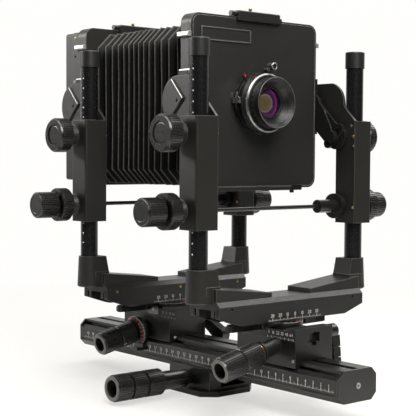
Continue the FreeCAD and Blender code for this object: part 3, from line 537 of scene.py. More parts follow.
LENS = Vector((0.0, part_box("lens_barrel")[0].y, middle("shutter_body").z))
POST_R = (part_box("front_posts")[1].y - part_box("front_posts")[0].y) / 2
POST_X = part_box("front_posts")[1].x - POST_R
POST_Y = {prefix: middle(prefix + "_posts").y for prefix in ("front", "rear")}
SIDES = {"left": -1, "right": 1}
CARRIAGE_SIDE = 25.0    # half width of a carriage, mm


def post_spot(prefix, x, y, z):
    """Point given in mm: x from the middle, y behind a standard's posts, z from the floor."""
    return Vector((x * MM, POST_Y[prefix] + y * MM, z * MM))


# ---------------- scales and painted marks

def graded(at, ten, five, one):
    """Size of a graduation: ten at every tenth mark, five at every fifth and one elsewhere."""
    return ten if at % 10 == 0 else five if at % 5 == 0 else one


def rail_scale():
    """Centimetre numbers with millimetre ticks along the rail's left face, counted from the front."""
    low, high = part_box("rail")
    marks = Marks(on_plane((low.x, low.y, 0), -Y, Z))
    numbers_z = 37.8
    tick_foot = 32.0
    bare_end = 4
    for at in range(bare_end, int((high.y - low.y) / MM) - bare_end):
        tall = graded(at, 3.9, 2.4, 1.4)
        marks.tick(-at, tick_foot + tall / 2, graded(at, 0.62, 0.3, 0.2), tall)
        if at % 10 == 0:
            marks.number(at // 10, -at, numbers_z, 3.1)
    marks.finish("rail_scale", "rail")


def bar_scale(prefix):
    """Shift scale on the front face of a shift bar, numbered 30 mm each way."""
    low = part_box(prefix + "_shift_bar")[0]
    marks = Marks(on_plane((0, low.y, low.z), X, Z))
    for at in range(-35, 36):
        tall = graded(at, 3.0, 2.0, 1.2)
        marks.tick(at, 0.9 + tall / 2, graded(at, 0.5, 0.26, 0.26), tall)
    for at in range(-30, 31, 10):
        marks.number(abs(at), at, 6.2, 3.3)
    marks.finish(prefix + "_shift_scale", prefix + "_base")


def swing_scale(prefix):
    """Ticks round the rim of the swing table, and two red index dots at its front."""
    low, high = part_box(prefix + "_swing_stage")
    radius = (high.y - low.y) / 2 / MM
    centre = (0, (low.y + high.y) / 2, 85.0 * MM)
    marks = Marks(on_round(centre, Z, -Y, radius))
    for angle in range(-60, 61, 3):
        tall = 1.8 if angle % 15 == 0 else 1.1
        marks.tick(angle, 0.3 + tall / 2, 0.9, tall)
    marks.finish(prefix + "_swing_scale", prefix + "_swing_stage")
    dots = Marks(on_round(centre, Z, -Y, radius + 0.05))
    for angle in (3.5, 9.0):
        dots.face([(angle + 1.6 * cos(t * 0.6), 2.4 + 0.62 * sin(t * 0.6)) for t in range(10)])
    dots.finish(prefix + "_index_dot", prefix + "_swing_stage", "red_paint")


def post_dots(prefix):
    """A row of white dots every 10 mm down the left post."""
    outward = (-0.974, -0.223, 0)
    marks = Marks(on_round((-POST_X, POST_Y[prefix], 0), Z, outward, POST_R / MM))
    top = 326.6
    turns = [t * pi / 5 for t in range(10)]
    for i in range(18):
        marks.face([(4.9 * cos(a), top - 10.0 * i + 0.72 * sin(a)) for a in turns])
    marks.finish(prefix + "_post_dots", prefix + "_base")


def bar_screws(prefix):
    """Three small screws in the front face of a shift bar."""
    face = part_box(prefix + "_shift_bar")[0].y + 0.15 * MM
    bm = bmesh.new()
    for x in (-84.0, 0.4, 84.0):
        screw(bm, Vector((x * MM, face, 104.4 * MM)), -Y, 1.45, 0.35, 0.5)
    look = "brass" if prefix == "rear" else "blacked"
    piece(prefix + "_bar_screws", bm, look, prefix + "_base")


def carriage_plate(prefix):
    """Thin graduated plate on the left side of a carriage, and two screws below it."""
    body = prefix + "_carriage"
    values, back, look = {
        "front": ((64, 45, 32, 22, 16, 8), -7.5, "white_paint"),
        "rear": ((64, 45, 32, 22), -17.0, "grey_paint"),
    }[prefix]
    corner = post_spot(prefix, -CARRIAGE_SIDE - 0.5, -46.3, 71.4)
    bm = bmesh.new()
    block(bm, corner, post_spot(prefix, -CARRIAGE_SIDE, back, 81.6))
    piece(prefix + "_scale_plate", bm, "blacked", body, bevel=0.15)
    marks = Marks(on_plane(corner, -Y, Z))
    for i in range(3 * len(values) + 1):
        u = -1.5 - i * 1.95
        marks.tick(u, 2.3, 0.6 if i % 3 == 0 else 0.35, 2.4 if i % 3 == 0 else 1.4)
    for i, value in enumerate(values):
        marks.number(value, -4.2 - i * 6.1, 6.8, 3.0)
    marks.finish(prefix + "_plate_marks", body, look)
    bm = bmesh.new()
    for y in (-44.3, 13.7):
        screw(bm, post_spot(prefix, -CARRIAGE_SIDE, y, 53.5), -X, 1.6, 0.5, 0.5)
    piece(prefix + "_carriage_screws", bm, "zinc", body)


def spirit_level():
    """Small round level let into the left side of the rear carriage under the swing lock."""
    face = -CARRIAGE_SIDE - 1.0
    bm = bmesh.new()
    block(bm, post_spot("rear", face, -15.6, 74.5), post_spot("rear", -CARRIAGE_SIDE, 2.3, 83.9))
    piece("level_housing", bm, "smoked", "rear_carriage", bevel=0.3)
    spot = post_spot("rear", face, -6.6, 79.4)
    bezel = [(2.75, -0.1), (2.75, 0.15), (2.5, 0.32), (2.2, 0.2), (2.15, -0.1)]
    turned_piece("level_bezel", "rim_grey", "rear_carriage", bezel, spot, -X, 28)
    dome = [(2.2, -0.1), (1.9, 0.15), (1.2, 0.32), (0.0, 0.4)]
    turned_piece("level_vial", "level_yellow", "rear_carriage", dome, spot, -X, 28)
    bubble = [(1.2, 0.34), (1.1, 0.46), (0.6, 0.5), (0.0, 0.5)]
    turned_piece("level_bubble", "white_paint", "rear_carriage", bubble, spot, -X, 20)


# ---------------- knobs

def droop_place(prefix):
    """(origin, outward axis) of a focus knob; distances start at the carriage's side."""
    turn = joint(prefix + "_focus_turn")
    axis = Vector(turn["axis"])
    return Vector(turn["pos_m"]) - axis * (30.0 * MM), axis


KNOB_ENDS = {"front": 72.9, "rear": 58.5}    # end faces of the focus knobs, mm along their axes


def knob_rims():
    """Bare rings on the hollow ends of the focus knobs and clamp handle, and painted shade lining the
    hollows inside.
    """
    rim = [(7.55, -1.0), (7.55, 0.2), (7.8, 0.55), (8.6, 0.75), (10.2, 0.75), (10.8, 0.45), (11.05, -0.2)]
    # Near-black lining down inside the hollow ends of the focus knobs: painted shade.
    shaded_well = [(7.5, 0.0), (7.45, -12.0), (6.8, -14.6), (0.0, -14.8)]
    for prefix, end in KNOB_ENDS.items():
        origin, axis = droop_place(prefix)
        body = prefix + "_focus_knob"
        turned_piece(body + "_rim", "rim_grey", body, [(r, end + s) for r, s in rim], origin, axis)
        turned_piece(body + "_well", "dark_paint_and_shade", body, [(r, end + s) for r, s in shaded_well], origin, axis, 40)
    origin = Vector((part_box("clamp_handle")[0].x, 0, middle("clamp_handle").z))
    rim = [(8.7, -1.0), (8.7, 0.15), (9.0, 0.45), (9.8, 0.6), (11.6, 0.6), (12.3, 0.3), (12.65, -0.4)]
    turned_piece("clamp_handle_rim", "rim_grey", "handle", rim, origin, -X)
    # Painted shade lining the hollow end of the clamp handle.
    shaded_well = [(8.72, 0.0), (8.65, -18.0), (7.6, -22.6), (0.0, -22.8)]
    turned_piece("clamp_handle_well", "dark_paint_and_shade", "handle", shaded_well, origin, -X, 40)


def fluted(bm, radius, count, start, end, origin, axis):
    """Sleeve of straight moulded ribs round an axis from start to end, in mm."""
    turn = Vector(axis).to_track_quat("Z", "Y").to_matrix()
    rings = []
    for along, shrink in ((start, 0.6), (start + 0.5, 0.0), (end - 0.5, 0.0), (end, 0.6)):
        ring = []
        for i in range(count):
            for share, height in ((0.0, 0.0), (0.3, 0.0), (0.42, 0.6), (0.88, 0.6)):
                a = 2 * pi * (i + share) / count
                reach = radius + height - shrink
                spot = Vector((reach * cos(a), reach * sin(a), along)) * MM
                ring.append(bm.verts.new(Vector(origin) + turn @ spot))
        rings.append(ring)
    skin(bm, rings)


def grip(name, body, radius, count, origin, axis, *zones):
    """Piece of moulded ribs over the zones of a grip, each from start to end in mm."""
    bm = bmesh.new()
    for start, end in zones:
        fluted(bm, radius, count, start, end, origin, axis)
    piece(name + "_ribs", bm, "knob", body, smooth_angle=30)


def knob_grips():
    """Moulded ribs on every grip of the knobs and the clamp handle."""
    lock_face = 126.7
    for prefix, start in (("front", 24.0), ("rear", 14.0)):
        origin, axis = droop_place(prefix)
        body = prefix + "_focus_knob"
        end = KNOB_ENDS[prefix]
        half = start + 0.49 * (end - start)
        grip(body, body, 11.65, 32, origin, axis, (start + 1.0, half - 1.0), (half + 1.0, end - 1.3))
        drive = prefix + "_rise_drive"
        centre = middle(drive)
        for side, sign in SIDES.items():
            name = prefix + "_" + side
            spot = Vector((0, centre.y, centre.z))
            outer = abs(outer_face(drive, sign)) / MM
            grip(name + "_rise_knob", drive, 12.75, 36, spot, X * sign, (142.3, outer - 1.1))
            body = name + "_rise_lock"
            grip(body, body, 16.55, 42, spot, X * sign, (lock_face + 0.7, lock_face + 12.3))
            body = name + "_tilt_knob"
            spot = Vector((0, centre.y, middle(body).z))
            outer = abs(outer_face(body, sign)) / MM
            grip(body, body, 16.95, 40, spot, X * sign, (lock_face + 1.1, outer - 1.7))
    spot = Vector((0, 0, middle("clamp_handle").z))
    zones = ((69.0, 88.5), (91.0, 107.0), (109.5, 125.5))
    grip("clamp_handle", "handle", 12.95, 36, spot, -X, *zones)


def front_focus_washers():
    """Copper friction ring and black flange on the boss behind the front focus knob."""
    origin, axis = droop_place("front")
    for name, look, start, hole, radius, thick in (
        ("front_focus_copper_ring", "copper", 22.3, 4.1, 9.7, 1.5),
        ("front_focus_flange", "blacked", 19.2, 8.02, 10.6, 2.4),
    ):
        outline = [
            (hole, start),
            (radius - 0.4, start),
            (radius, start + 0.4),
            (radius, start + thick - 0.4),
            (radius - 0.4, start + thick),
            (hole, start + thick),
        ]
        turned_piece(name, look, "front_carriage", outline, origin, axis)


def depth_ring_marks():
    """White and red graduations round the cone of the depth-of-field ring."""
    origin, axis = droop_place("rear")
    start = Z - axis * axis.z
    slope = (13.6 - 16.0) / 4.5
    place = on_round(origin + axis * (8.5 * MM), axis, start, 16.0, slope)
    white = Marks(place)
    red = Marks(place)
    for i in range(60):
        white.tick(i * 6.0, 0.8, 1.1, 1.3 if i % 2 else 2.0)
    for i in range(20):
        red.tick(i * 18.0 + 4.0, 3.1, 5.0, 1.7)
    white.finish("depth_ring_white_marks", "depth_ring")
    red.finish("depth_ring_red_marks", "depth_ring", "red_paint")


def knob_face_rings():
    """Raised disc in the dish of each tilt knob, and a moulded ring on each rise knob's face."""
    disc = [(10.55, -1.55), (9.7, -1.5), (9.2, -1.0), (8.8, -0.9), (0.0, -0.9)]
    ring = [(9.7, -0.3), (9.5, 0.05), (9.0, 0.15), (8.4, 0.05), (8.1, -0.2), (0.0, -0.25)]
    for prefix in ("front", "rear"):
        drive = prefix + "_rise_drive"
        for side, sign in SIDES.items():
            body = prefix + "_" + side + "_tilt_knob"
            spot = Vector((outer_face(body, sign), *middle(body).yz))
            turned_piece(body + "_disc", "knob", body, disc, spot, X * sign, smooth_angle=12)
            spot = Vector((outer_face(drive, sign), *middle(drive).yz))
            turned_piece(prefix + "_" + side + "_rise_knob_face", "knob", drive, ring, spot, X * sign)


# ---------------- screws and small fittings

def lift_block_screws(prefix):
    """Brass and black screws on the inner faces of the lift blocks, and dark seam lines on their outer and
    front faces.
    """
    inner = 92.45
    outer = 117.85
    front = -12.6
    foot, top = 178.7, 283.85
    brass = bmesh.new()
    black = bmesh.new()
    seams = bmesh.new()
    for sign in SIDES.values():
        face = sign * inner
        inward = -X * sign
        for z in (267.9, 194.8):
            screw(brass, post_spot(prefix, face, -10.6, z), inward, 1.5, 0.9, 0.6)
        screw(black, post_spot(prefix, face, -10.9, 258.3), inward, 0.9, 0.5, 0.3)
        for y in (-7.7, 9.4):
            screw(black, post_spot(prefix, face, y, 279.0), inward, 1.3, 0.25, 0.5)
        for x0, y0, x1, y1 in (
            (outer - 0.2, front + 1.9, outer + 0.06, front + 2.9),
            (inner + 0.9, front - 0.06, inner + 1.5, front + 0.2),
        ):
            block(seams, post_spot(prefix, sign * x0, y0, foot), post_spot(prefix, sign * x1, y1, top))
    piece(prefix + "_lift_brass_screws", brass, "brass", prefix + "_lift")
    piece(prefix + "_lift_black_screws", black, "zinc", prefix + "_lift")
    piece(prefix + "_lift_seams", seams, "dark_paint_and_shade", prefix + "_lift")


def frame_fittings(prefix):
    """Small bright stops on the frame's sides and the screws of the tilt strips."""
    body = prefix + "_tilt"
    side_face = 84.9
    strip_face = 88.35
    axis_y = 44.3
    bm = bmesh.new()
    for sign in SIDES.values():
        start = 36.5 if sign < 0 else 41.5
        foot = post_spot(prefix, sign * side_face, start, 325.2)
        block(bm, foot, post_spot(prefix, sign * 87.6, 52.2, 330.4))
    piece(prefix + "_frame_stops", bm, "aluminium", body, bevel=0.7)
    bm = bmesh.new()
    for sign in SIDES.values():
        screw(bm, post_spot(prefix, sign * side_face, axis_y, 266.5), X * sign, 2.6, 2.4, 1.2)
        for y in (axis_y - 4.0, axis_y + 4.0):
            for z in (274.5, 321.5):
                screw(bm, post_spot(prefix, sign * strip_face, y, z), X * sign, 1.3, 0.12, 0.3)
    piece(prefix + "_strip_screws", bm, "zinc", body)


def rounded_ring(bm, half, corner, width, y0, y1, steps=8):
    """Square ring with rounded corners round the lens axis, standing from y0 to y1; the rest in mm."""
    loops = []
    for inset, y in ((0.0, y0), (0.0, y1), (width, y1), (width, y0)):
        loop = []
        for quarter in range(4):
            for k in range(steps + 1):
                a = pi / 2 * (quarter + k / steps)
                centre = Vector(((1, 1), (-1, 1), (-1, -1), (1, -1))[quarter]) * (half - corner)
                reach = corner - inset
                x = centre.x + reach * cos(a)
                z = centre.y + reach * sin(a)
                loop.append(bm.verts.new((x * MM, y, LENS.z + z * MM)))
        loops.append(loop)
    skin(bm, loops + loops[:1])


def badge_edge():
    """Thin bevel round the blank name plate, painted light as a highlight."""
    low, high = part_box("name_plate")
    wide = 0.8 * MM
    front = low.y - 0.1 * MM
    back = low.y + 0.3 * MM
    inner_low = low.z + wide
    inner_high = high.z - wide
    bm = bmesh.new()
    for x0, x1, z0, z1 in (
        (low.x, high.x, inner_high, high.z),
        (low.x, high.x, low.z, inner_low),
        (low.x, low.x + wide, inner_low, inner_high),
        (high.x - wide, high.x, inner_low, inner_high),
    ):
        block(bm, (x0, front, z0), (x1, back, z1))
    piece("name_plate_bevel_highlight", bm, "highlight_rim", "front_tilt", bevel=0.25)


def cover_edges(prefix):
    """Bevelled bead in bright metal along the straight edge of the half-round cover on each lift block's
    ear, a painted highlight of that edge.
    """
    bm = bmesh.new()
    cover_face = 97.05
    for sign in SIDES.values():
        top = post_spot(prefix, sign * cover_face, 51.1, 320.4)
        foot = post_spot(prefix, sign * cover_face, 34.3, 302.3)
        along = foot - top
        inward = Vector((0, -along.z, along.y)).normalized() * MM
        if inward.y < 0:
            inward = -inward
        ridge = X * sign * (0.5 * MM)
        outline = [top, top + inward * 0.45 + ridge, top + inward * 1.5]
        prism(bm, outline, Vector((0, 0, 0)), along)
    piece(prefix + "_cover_edges", bm, "aluminium", prefix + "_lift", smooth_angle=0)


def board_edge():
    """Dark line near the rim of the lens board, partly a joint and partly painted shade on the board's
    edge chamfer, and inside it a thin bevel painted light as a highlight.
    """
    low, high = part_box("lens_board")
    half = (high.x - low.x) / 2 / MM
    face = low.y
    bm = bmesh.new()
    # Dark ring: the joint, with painted shade of the edge chamfer.
    rounded_ring(bm, half - 0.5, 9.5, 1.3, face + 0.3 * MM, face - 0.05 * MM)
    piece("board_joint_shade_line", bm, "dark_paint_and_shade", "front_tilt")
    bm = bmesh.new()
    # Thin bevel painted lighter than the board: a painted highlight.
    rounded_ring(bm, half - 1.8, 8.2, 0.6, face + 0.3 * MM, face - 0.12 * MM)
    piece("board_bevel_highlight", bm, "highlight_rim", "front_tilt", bevel=0.1)


def board_fittings():
    """Latch plate and end stop on the ledge that carries the lens board."""
    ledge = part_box("front_frame")[0]

    def spot(x, y, z):
        return Vector((x * MM, ledge.y + y * MM, ledge.z + z * MM))

    bm = bmesh.new()
    block(bm, spot(46.0, -0.6, 0.6), spot(61.0, 0.0, 5.6))
    block(bm, spot(45.0, -0.6, -2.6), spot(49.5, 1.6, 0.4))
    piece("board_latch_plate", bm, "blacked", "front_tilt", bevel=0.3)
    bm = bmesh.new()
    block(bm, spot(-61.4, -0.3, 0.0), spot(-59.8, 1.0, 6.0))
    piece("board_ledge_stop", bm, "zinc", "front_tilt", bevel=0.3)
    for prefix, body in (("front", "board_lock"), ("rear", "back_lock")):
        node = prefix + "_" + body
        low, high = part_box(node)
        bm = bmesh.new()
        screw(bm, Vector((low.x + 29 * MM, POST_Y[prefix] + 40 * MM, high.z)), Z, 1.9, 0.7, 0.5)
        piece(node + "_screws", bm, "brass", body)


def back_fittings():
    """Screws and flat springs of the ground glass back."""
    low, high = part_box("ground_glass_frame")
    bm = bmesh.new()
    for x in (low.x + 7 * MM, high.x - 7 * MM):
        for z in (low.z + 7 * MM, high.z - 7 * MM):
            screw(bm, Vector((x, high.y, z)), Y, 2.2, 0.7, 0.6)
    piece("back_corner_screws", bm, "zinc", "spring_back")
    for side, sign in SIDES.items():
        bm = bmesh.new()
        x = sign * 71.5 * MM
        half = X * (4.0 * MM)
        profile = []
        steps = 24
        for i in range(steps + 1):
            t = i / steps
            z = low.z + 26 * MM + t * (high.z - low.z - 52 * MM)
            bow = 1.9 * sin(pi * t)
            profile.append(Vector((x, high.y + (0.25 + bow) * MM, z)))
        for a, b in zip(profile, profile[1:]):
            bm.faces.new([bm.verts.new(spot) for spot in (a - half, a + half, b + half, b - half)])
        bmesh.ops.remove_doubles(bm, verts=bm.verts, dist=0.00001)
        spring = piece("back_" + side + "_spring", bm, "aluminium", "spring_back")
        thick = spring.modifiers.new("sheet", "SOLIDIFY")
        thick.thickness = 0.6 * MM
        bm = bmesh.new()
        for z in (low.z + 28 * MM, high.z - 28 * MM):
            screw(bm, Vector((x, high.y + 0.7 * MM, z)), Y, 2.0, 0.8, 0.6)
        piece("back_" + side + "_spring_screws", bm, "zinc", "spring_back")
    bm = bmesh.new()
    low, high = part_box("back_frame")
    for z in (-59.0, 75.0):
        screw(bm, Vector((low.x, low.y + 6 * MM, LENS.z + z * MM)), -X, 1.3, 0.5, 0.4)
    piece("back_frame_side_screws", bm, "brass", "rear_tilt")
    catch = [(3.1, -0.4), (3.2, 0.6), (2.9, 1.6), (2.2, 2.3), (1.2, 2.6), (1.1, 2.1), (0.0, 2.1)]
    spot = (low.x, low.y + 4.6 * MM, 326.3 * MM)
    turned_piece("back_frame_catch", "zinc", "rear_tilt", catch, spot, -X, 28)


def ground_glass_grid():
    """Fine composing lines on the ground side of the glass."""
    low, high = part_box("ground_glass")
    marks = Marks(on_plane((0, high.y, (low.z + high.z) / 2), -X, Z))
    line = 0.14
    for i in range(-5, 6):
        marks.tick(i * 10.0, 0.0, line, 100.0)
        if abs(i) < 5:
            marks.tick(0.0, i * 10.0, 120.0, line)
    marks.finish("ground_glass_lines", "spring_back", "dark_paint_and_shade")


# ---------------- lens

def lens_details():
    """Rim, filter thread, cell rings, painted scales and knurling of the lens and shutter."""
    body = "front_tilt"
    rim = [(24.5, 0.6), (24.55, 0.0), (24.7, -0.25), (24.95, -0.28), (25.15, -0.1), (25.2, 0.5)]
    turned_piece("lens_rim", "rim_grey", body, rim, LENS, Y, 96)
    cone = 9.0 / 10.7
    thread = []
    for i in range(13):
        s = 0.5 + 0.3 * i
        thread.append((24.52 - cone * s - (0.28 if i % 2 else 0.0), s))
    turned_piece("filter_thread", "lens_black", body, thread, LENS, Y, 96, smooth_angle=20)
    bm = bmesh.new()
    turned(bm, [(16.6, 9.5), (15.6, 9.3), (14.9, 9.6), (14.45, 10.4), (14.35, 11.2)], LENS, Y, 72)
    turned(bm, [(17.5, 8.4), (17.3, 8.2), (17.0, 8.3), (16.9, 8.9)], LENS, Y, 72)
    piece("cell_retaining_ring", bm, "blacked", body)

    marks = Marks(on_round(LENS + Y * (8.9 * MM), Y, Z, 25.2))
    values = (4, 8, 11, 16, 22, 32, 45, 64, 90, 128)
    for i in range(10):
        marks.number(values[i], 110 + i * 11.5, 0.0, 1.7)
        marks.number(values[-1 - i], 240 + i * 11.5, 0.0, 1.7)
    marks.finish("barrel_numbers", body, "grey_paint")

    marks = Marks(on_round(LENS + Y * (18.8 * MM), Y, -Z, 31.0))
    for i in range(24):
        angle = -70 + i * 5.0
        marks.tick(angle, 0.5 if i % 4 == 0 else 0.8, 0.8, 2.2 if i % 4 == 0 else 1.3)
    marks.finish("aperture_scale", body, "grey_paint")

    ring = Marks(on_round(LENS + Y * (15.6 * MM), Y, Z, 29.2))
    for i, value in enumerate((1, 2, 4, 8, 15, 30, 60, 125, 250, 500)):
        ring.number(value, -130 + i * 13.5, -0.3, 2.0)
    ring.finish("speed_numbers", "speed_ring", "dark_paint_and_shade")
    bm = bmesh.new()
    knurls = 120
    for i in range(knurls):
        a = 2 * pi * i / knurls
        out = Vector((cos(a), 0, sin(a)))
        side = Vector((-sin(a), 0, cos(a)))
        base = LENS + out * (29.15 * MM)
        outline = [base - side * (0.42 * MM), base + out * (0.45 * MM), base + side * (0.42 * MM)]
        prism(bm, outline, Y * (12.9 * MM), Y * (14.0 * MM))
    piece("speed_ring_knurls", bm, "satin", "speed_ring", smooth_angle=0)

    spot = Marks(on_round(LENS + Y * (15.4 * MM), Y, Z, 29.25))
    spot.face([(-30 + 2.4 * cos(t * 0.6), 1.15 * sin(t * 0.6)) for t in range(10)])
    spot.finish("speed_ring_red_dot", "speed_ring", "red_paint")
    lever = Marks(on_plane(Vector((0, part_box("aperture_lever")[0].y, LENS.z)), X, Z))
    reach = 35.6
    rest = radians(132)
    lever.dot(reach * cos(rest), reach * sin(rest), 1.25)
    lever.finish("aperture_lever_red_dot", "aperture_lever", "red_paint")

    low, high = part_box("flash_post")
    post = Vector((high.x - 3.9 * MM, low.y, high.z - 3.9 * MM))
    # Dark ring round the pin, down inside the socket.
    dark_ring = [(2.35, 0.9), (1.6, 1.0), (0.9, 1.0)]
    turned_piece("flash_socket_dark_ring", "dark_paint_and_shade", body, dark_ring, post, Y, 28)
    rim = [(2.4, 0.5), (2.55, -0.15), (3.1, -0.35), (3.6, -0.2), (3.95, 0.35)]
    turned_piece("flash_socket_rim", "chrome", body, rim, post, Y, 36)


# ---------------- lever tips and bar ends

def lock_lever_ridges():
    """Finger ridges on the tips of the swing and shift lock levers."""
    for prefix in ("front", "rear"):
        for kind, sign in (("swing", -1), ("shift", 1)):
            body = prefix + "_" + kind + "_lock"
            low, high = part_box(body)
            tip = outer_face(body, sign)
            y = (low.y + high.y) / 2
            bm = bmesh.new()
            for i in range(5):
                x = tip - sign * (1.8 + 2.6 * i) * MM
                a, b = x - 0.6 * MM, x + 0.6 * MM
                block(bm, (a, y - 5.0 * MM, low.z + 0.4 * MM), (b, y + 5.0 * MM, low.z + 5.5 * MM))
            piece(body + "_ridges", bm, "blacked", body, bevel=0.3)


def bar_ends():
    """Webs of the extrusion, and painted shade in the hollows between them, seen in the open ends of each
    shift bar.
    """
    for prefix in ("front", "rear"):
        low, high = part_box(prefix + "_shift_bar")
        y = (low.y + high.y) / 2
        webs = bmesh.new()
        cell_shade = bmesh.new()
        for sign in SIDES.values():
            end = sign * (high.x - low.x) / 2
            for side in (-1, 1):
                for bm, x0, x1, y0, y1, z0, z1 in (
                    (webs, -0.3, -9.0, 8.6, 13.0, 97.3, 104.05),
                    # Near-black boxes in the hollows of the open ends: painted shade.
                    (cell_shade, -0.5, 0.06, 16.0, 20.0, 98.6, 106.0),
                ):
                    foot = (end + sign * x0 * MM, y + side * y0 * MM, z0 * MM)
                    block(bm, foot, (end + sign * x1 * MM, y + side * y1 * MM, z1 * MM))
        piece(prefix + "_bar_end_webs", webs, "bar", prefix + "_base", bevel=0.2)
        piece(prefix + "_bar_end_cells", cell_shade, "dark_paint_and_shade", prefix + "_base")


# ---------------- bellows

def bellows():
    """Pleated cloth sleeve that stretches between the two frames."""
    low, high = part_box("bellows")
    collar = 2.0
    length = (high.y - low.y) / MM
    half_x = (high.x - low.x) / 2 / MM - 0.3
    half_z = (high.z - low.z) / 2 / MM - 0.3
    level = (low.z + high.z) / 2
    pleats = 14
    depth = 8.6
    first = 8.3
    last = 143.0

    ridges = []
    for i in range(pleats):
        u = 2.0 * i / (pleats - 1) - 1.0
        ridges.append((first + last) / 2 + (last - first) / 2 * (0.8 * u + 0.2 * u ** 3))
    stations = [(0.0, 0.82), (collar, 0.82), (collar + 0.3, 1.0)]
    for i, y in enumerate(ridges):
        if i:
            valley = (y + ridges[i - 1]) / 2
            gap = y - ridges[i - 1]
            stations += [(valley - 0.12 * gap, 0.93), (valley, 1.0), (valley + 0.12 * gap, 0.93)]
        rise = (y - (ridges[i - 1] if i else first - 8.0)) / 2
        fall = ((ridges[i + 1] if i + 1 < pleats else last + 9.0) - y) / 2
        stations += [(y - 0.5 * rise, 0.46), (y - 0.16 * rise, 0.12), (y, 0.0), (y + 0.16 * fall, 0.12)]
        stations += [(y + 0.5 * fall, 0.46)]
    far = length - collar
    stations += [(far - 4.0, 0.9), (far - 0.3, 1.0), (far, 0.82), (length, 0.82)]

    def outline(drop, y):
        """Octagon with pinched sides, as points round the sleeve, (x, z) in mm."""
        a = half_x - drop
        b = half_z - drop
        cut_x = 15.6
        cut_z = 15.3
        corners = [
            (-a + cut_x, -b), (a - cut_x, -b), (a, -b + cut_z), (a, b - cut_z),
            (a - cut_x, b), (-a + cut_x, b), (-a, b - cut_z), (-a, -b + cut_z),
        ]
        points = []
        for (x0, z0), (x1, z1) in zip(corners, corners[1:] + corners[:1]):
            parts = 12 if abs(x1 - x0) + abs(z1 - z0) > 60 else 4
            for k in range(parts):
                t = k / parts
                x = x0 + (x1 - x0) * t
                z = z0 + (z1 - z0) * t
                wave = noise.noise(Vector((x * 0.03, z * 0.03, y * 0.35))) * 0.5
                wave -= 0.55 * sin(pi * t) if parts > 4 else 0.0
                reach = hypot(x, z)
                points.append((x + wave * x / reach, z + wave * z / reach))
        return points

    bm = bmesh.new()
    crest = bm.verts.layers.float.new("crest")
    rings = []
    for y, share in stations:
        ring = []
        for x, z in outline(share * depth, y):
            vert = bm.verts.new((x * MM, low.y + y * MM, level + z * MM))
            vert[crest] = 1.0 - share
            ring.append(vert)
        rings.append(ring)
    skin(bm, rings)
    sleeve = piece("bellows_cloth", bm, "leatherette", "rear_tilt", smooth_angle=42)
    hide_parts("bellows")

    group = sleeve.vertex_groups.new(name="front end")
    start = low.y + collar * MM
    span = (length - 2 * collar) * MM
    for vert in sleeve.data.vertices:
        share = 1.0 - min(1.0, max(0.0, (vert.co.y - start) / span))
        group.add([vert.index], share, "REPLACE")
    front_end = new_object("bellows_front_grip", None)
    front_end.parent = frame["bodies"]["front_tilt"]
    hook = sleeve.modifiers.new("front end", "HOOK")
    hook.object = front_end
    hook.vertex_group = "front end"
    hook.falloff_type = "NONE"
    hook.matrix_inverse = Matrix.Identity(4)


# ---------------- studio

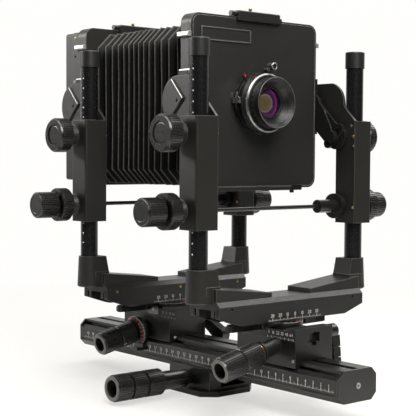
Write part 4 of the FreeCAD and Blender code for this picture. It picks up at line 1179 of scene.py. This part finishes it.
def studio():
    """Pale floor that fades into a white surround, soft lights and the camera."""
    white = (1.0, 0.995, 0.975)
    scene = bpy.context.scene
    scene.view_settings.view_transform = "Standard"
    world = bpy.data.worlds.new("studio")
    scene.world = world
    world.use_nodes = True
    tree = world.node_tree
    tree.nodes.clear()
    seen = add(tree, "LightPath").outputs["Is Camera Ray"]
    ray = add(tree, "TexCoord").outputs["Generated"]
    backdrop = (0.63, 0.745, 0.22)
    room = between(tree, dot(tree, ray, backdrop), 0.2, 0.85, 0.025, 1.0)
    power = add(tree, "Mix", {0: seen, 2: room, 3: 1.0}, data_type="FLOAT").outputs[0]
    glow = add(tree, "Background", {"Color": rgba(white), "Strength": power})
    output = add(tree, "OutputWorld")
    tree.links.new(glow.outputs[0], output.inputs["Surface"])

    bm = bmesh.new()
    turned(bm, [(reach, 0.0) for reach in (0.0, 200, 500, 900, 1600, 9000)], (0, 0, -0.0004), Z, 96)
    mesh = new_mesh("floor", bm)
    floor = new_object("floor", mesh)
    mat, tree, shader, place = material("pale_floor")
    away = distance(tree, place)
    direct = add(tree, "LightPath").outputs["Is Camera Ray"]
    share = between(tree, away, 0.25, 1.1, between(tree, direct, 0.0, 1.0, 0.0, 0.55), 1.0)
    grain = grains(tree, place, 0.02, 3.0)
    tone = blend(tree, grain, rgba((0.80, 0.795, 0.775)), rgba((0.83, 0.825, 0.805)))
    feed(tree, shader, {"Base Color": tone, "Roughness": 0.75})
    toward = dot(tree, place, (0.645, 0.763, 0.0))
    bounce = between(tree, toward, 0.0, 1.5, 0.06, 0.9)
    power = between(tree, direct, 0.0, 1.0, bounce, 1.0)
    glow = add(tree, "Emission", {"Color": rgba(white), "Strength": power})
    mix = add(tree, "MixShader", {0: share, 1: shader.outputs[0], 2: glow.outputs[0]})
    tree.links.new(mix.outputs[0], tree.nodes["Material Output"].inputs["Surface"])
    mesh.materials.append(mat)

    for name, spot, aim, size, spread, watts in (
        ("top_softbox", (-0.1, -0.15, 1.6), 0.2, 1.4, 180, 22.0),
        ("right_softbox", (1.15, -0.15, 1.5), 0.2, 0.8, 180, 10.0),
        ("front_softbox", (-0.25, -0.85, 1.05), 0.4, 0.7, 90, 5.0),
        ("back_left_softbox", (-1.25, 1.4, 1.05), 0.5, 0.8, 42, 2.2),
    ):
        light = bpy.data.lights.new(name, "AREA")
        light.shape = "SQUARE"
        light.size = size
        light.energy = watts
        light.spread = radians(spread)
        light.color = (1.0, 0.985, 0.955)
        lamp = new_object(name, light)
        lamp.location = spot
        lamp.rotation_euler = (Vector((0, 0, aim)) - Vector(spot)).to_track_quat("-Z", "Y").to_euler()

    view = bpy.data.cameras.new("camera")
    eye = new_object("camera", view)
    view.sensor_width = 36.0
    view.lens = 95.56
    view.clip_start = 0.05
    view.clip_end = 60.0
    yaw = radians(-40.22)
    pitch = radians(2.63)
    roll = radians(0.32)
    back = Vector((sin(yaw) * cos(pitch), -cos(yaw) * cos(pitch), sin(pitch)))
    level = (-back).cross(Z).normalized()
    upright = level.cross(-back)
    right = cos(roll) * level + sin(roll) * upright
    up = right.cross(-back)
    turn = Matrix((right, up, back)).transposed()
    eye.matrix_world = Matrix.Translation((-0.7553, -0.8884, 0.2458)) @ turn.to_4x4()
    scene.camera = eye


# ---------------- build

paint_cad_nodes()
rail_scale()
for name in ("front", "rear"):
    bar_scale(name)
    swing_scale(name)
    post_dots(name)
    bar_screws(name)
    carriage_plate(name)
    lift_block_screws(name)
    frame_fittings(name)
    cover_edges(name)
spirit_level()
knob_rims()
knob_grips()
front_focus_washers()
depth_ring_marks()
knob_face_rings()
board_edge()
badge_edge()
board_fittings()
back_fittings()
ground_glass_grid()
lens_details()
lock_lever_ridges()
bar_ends()
bellows()
studio()
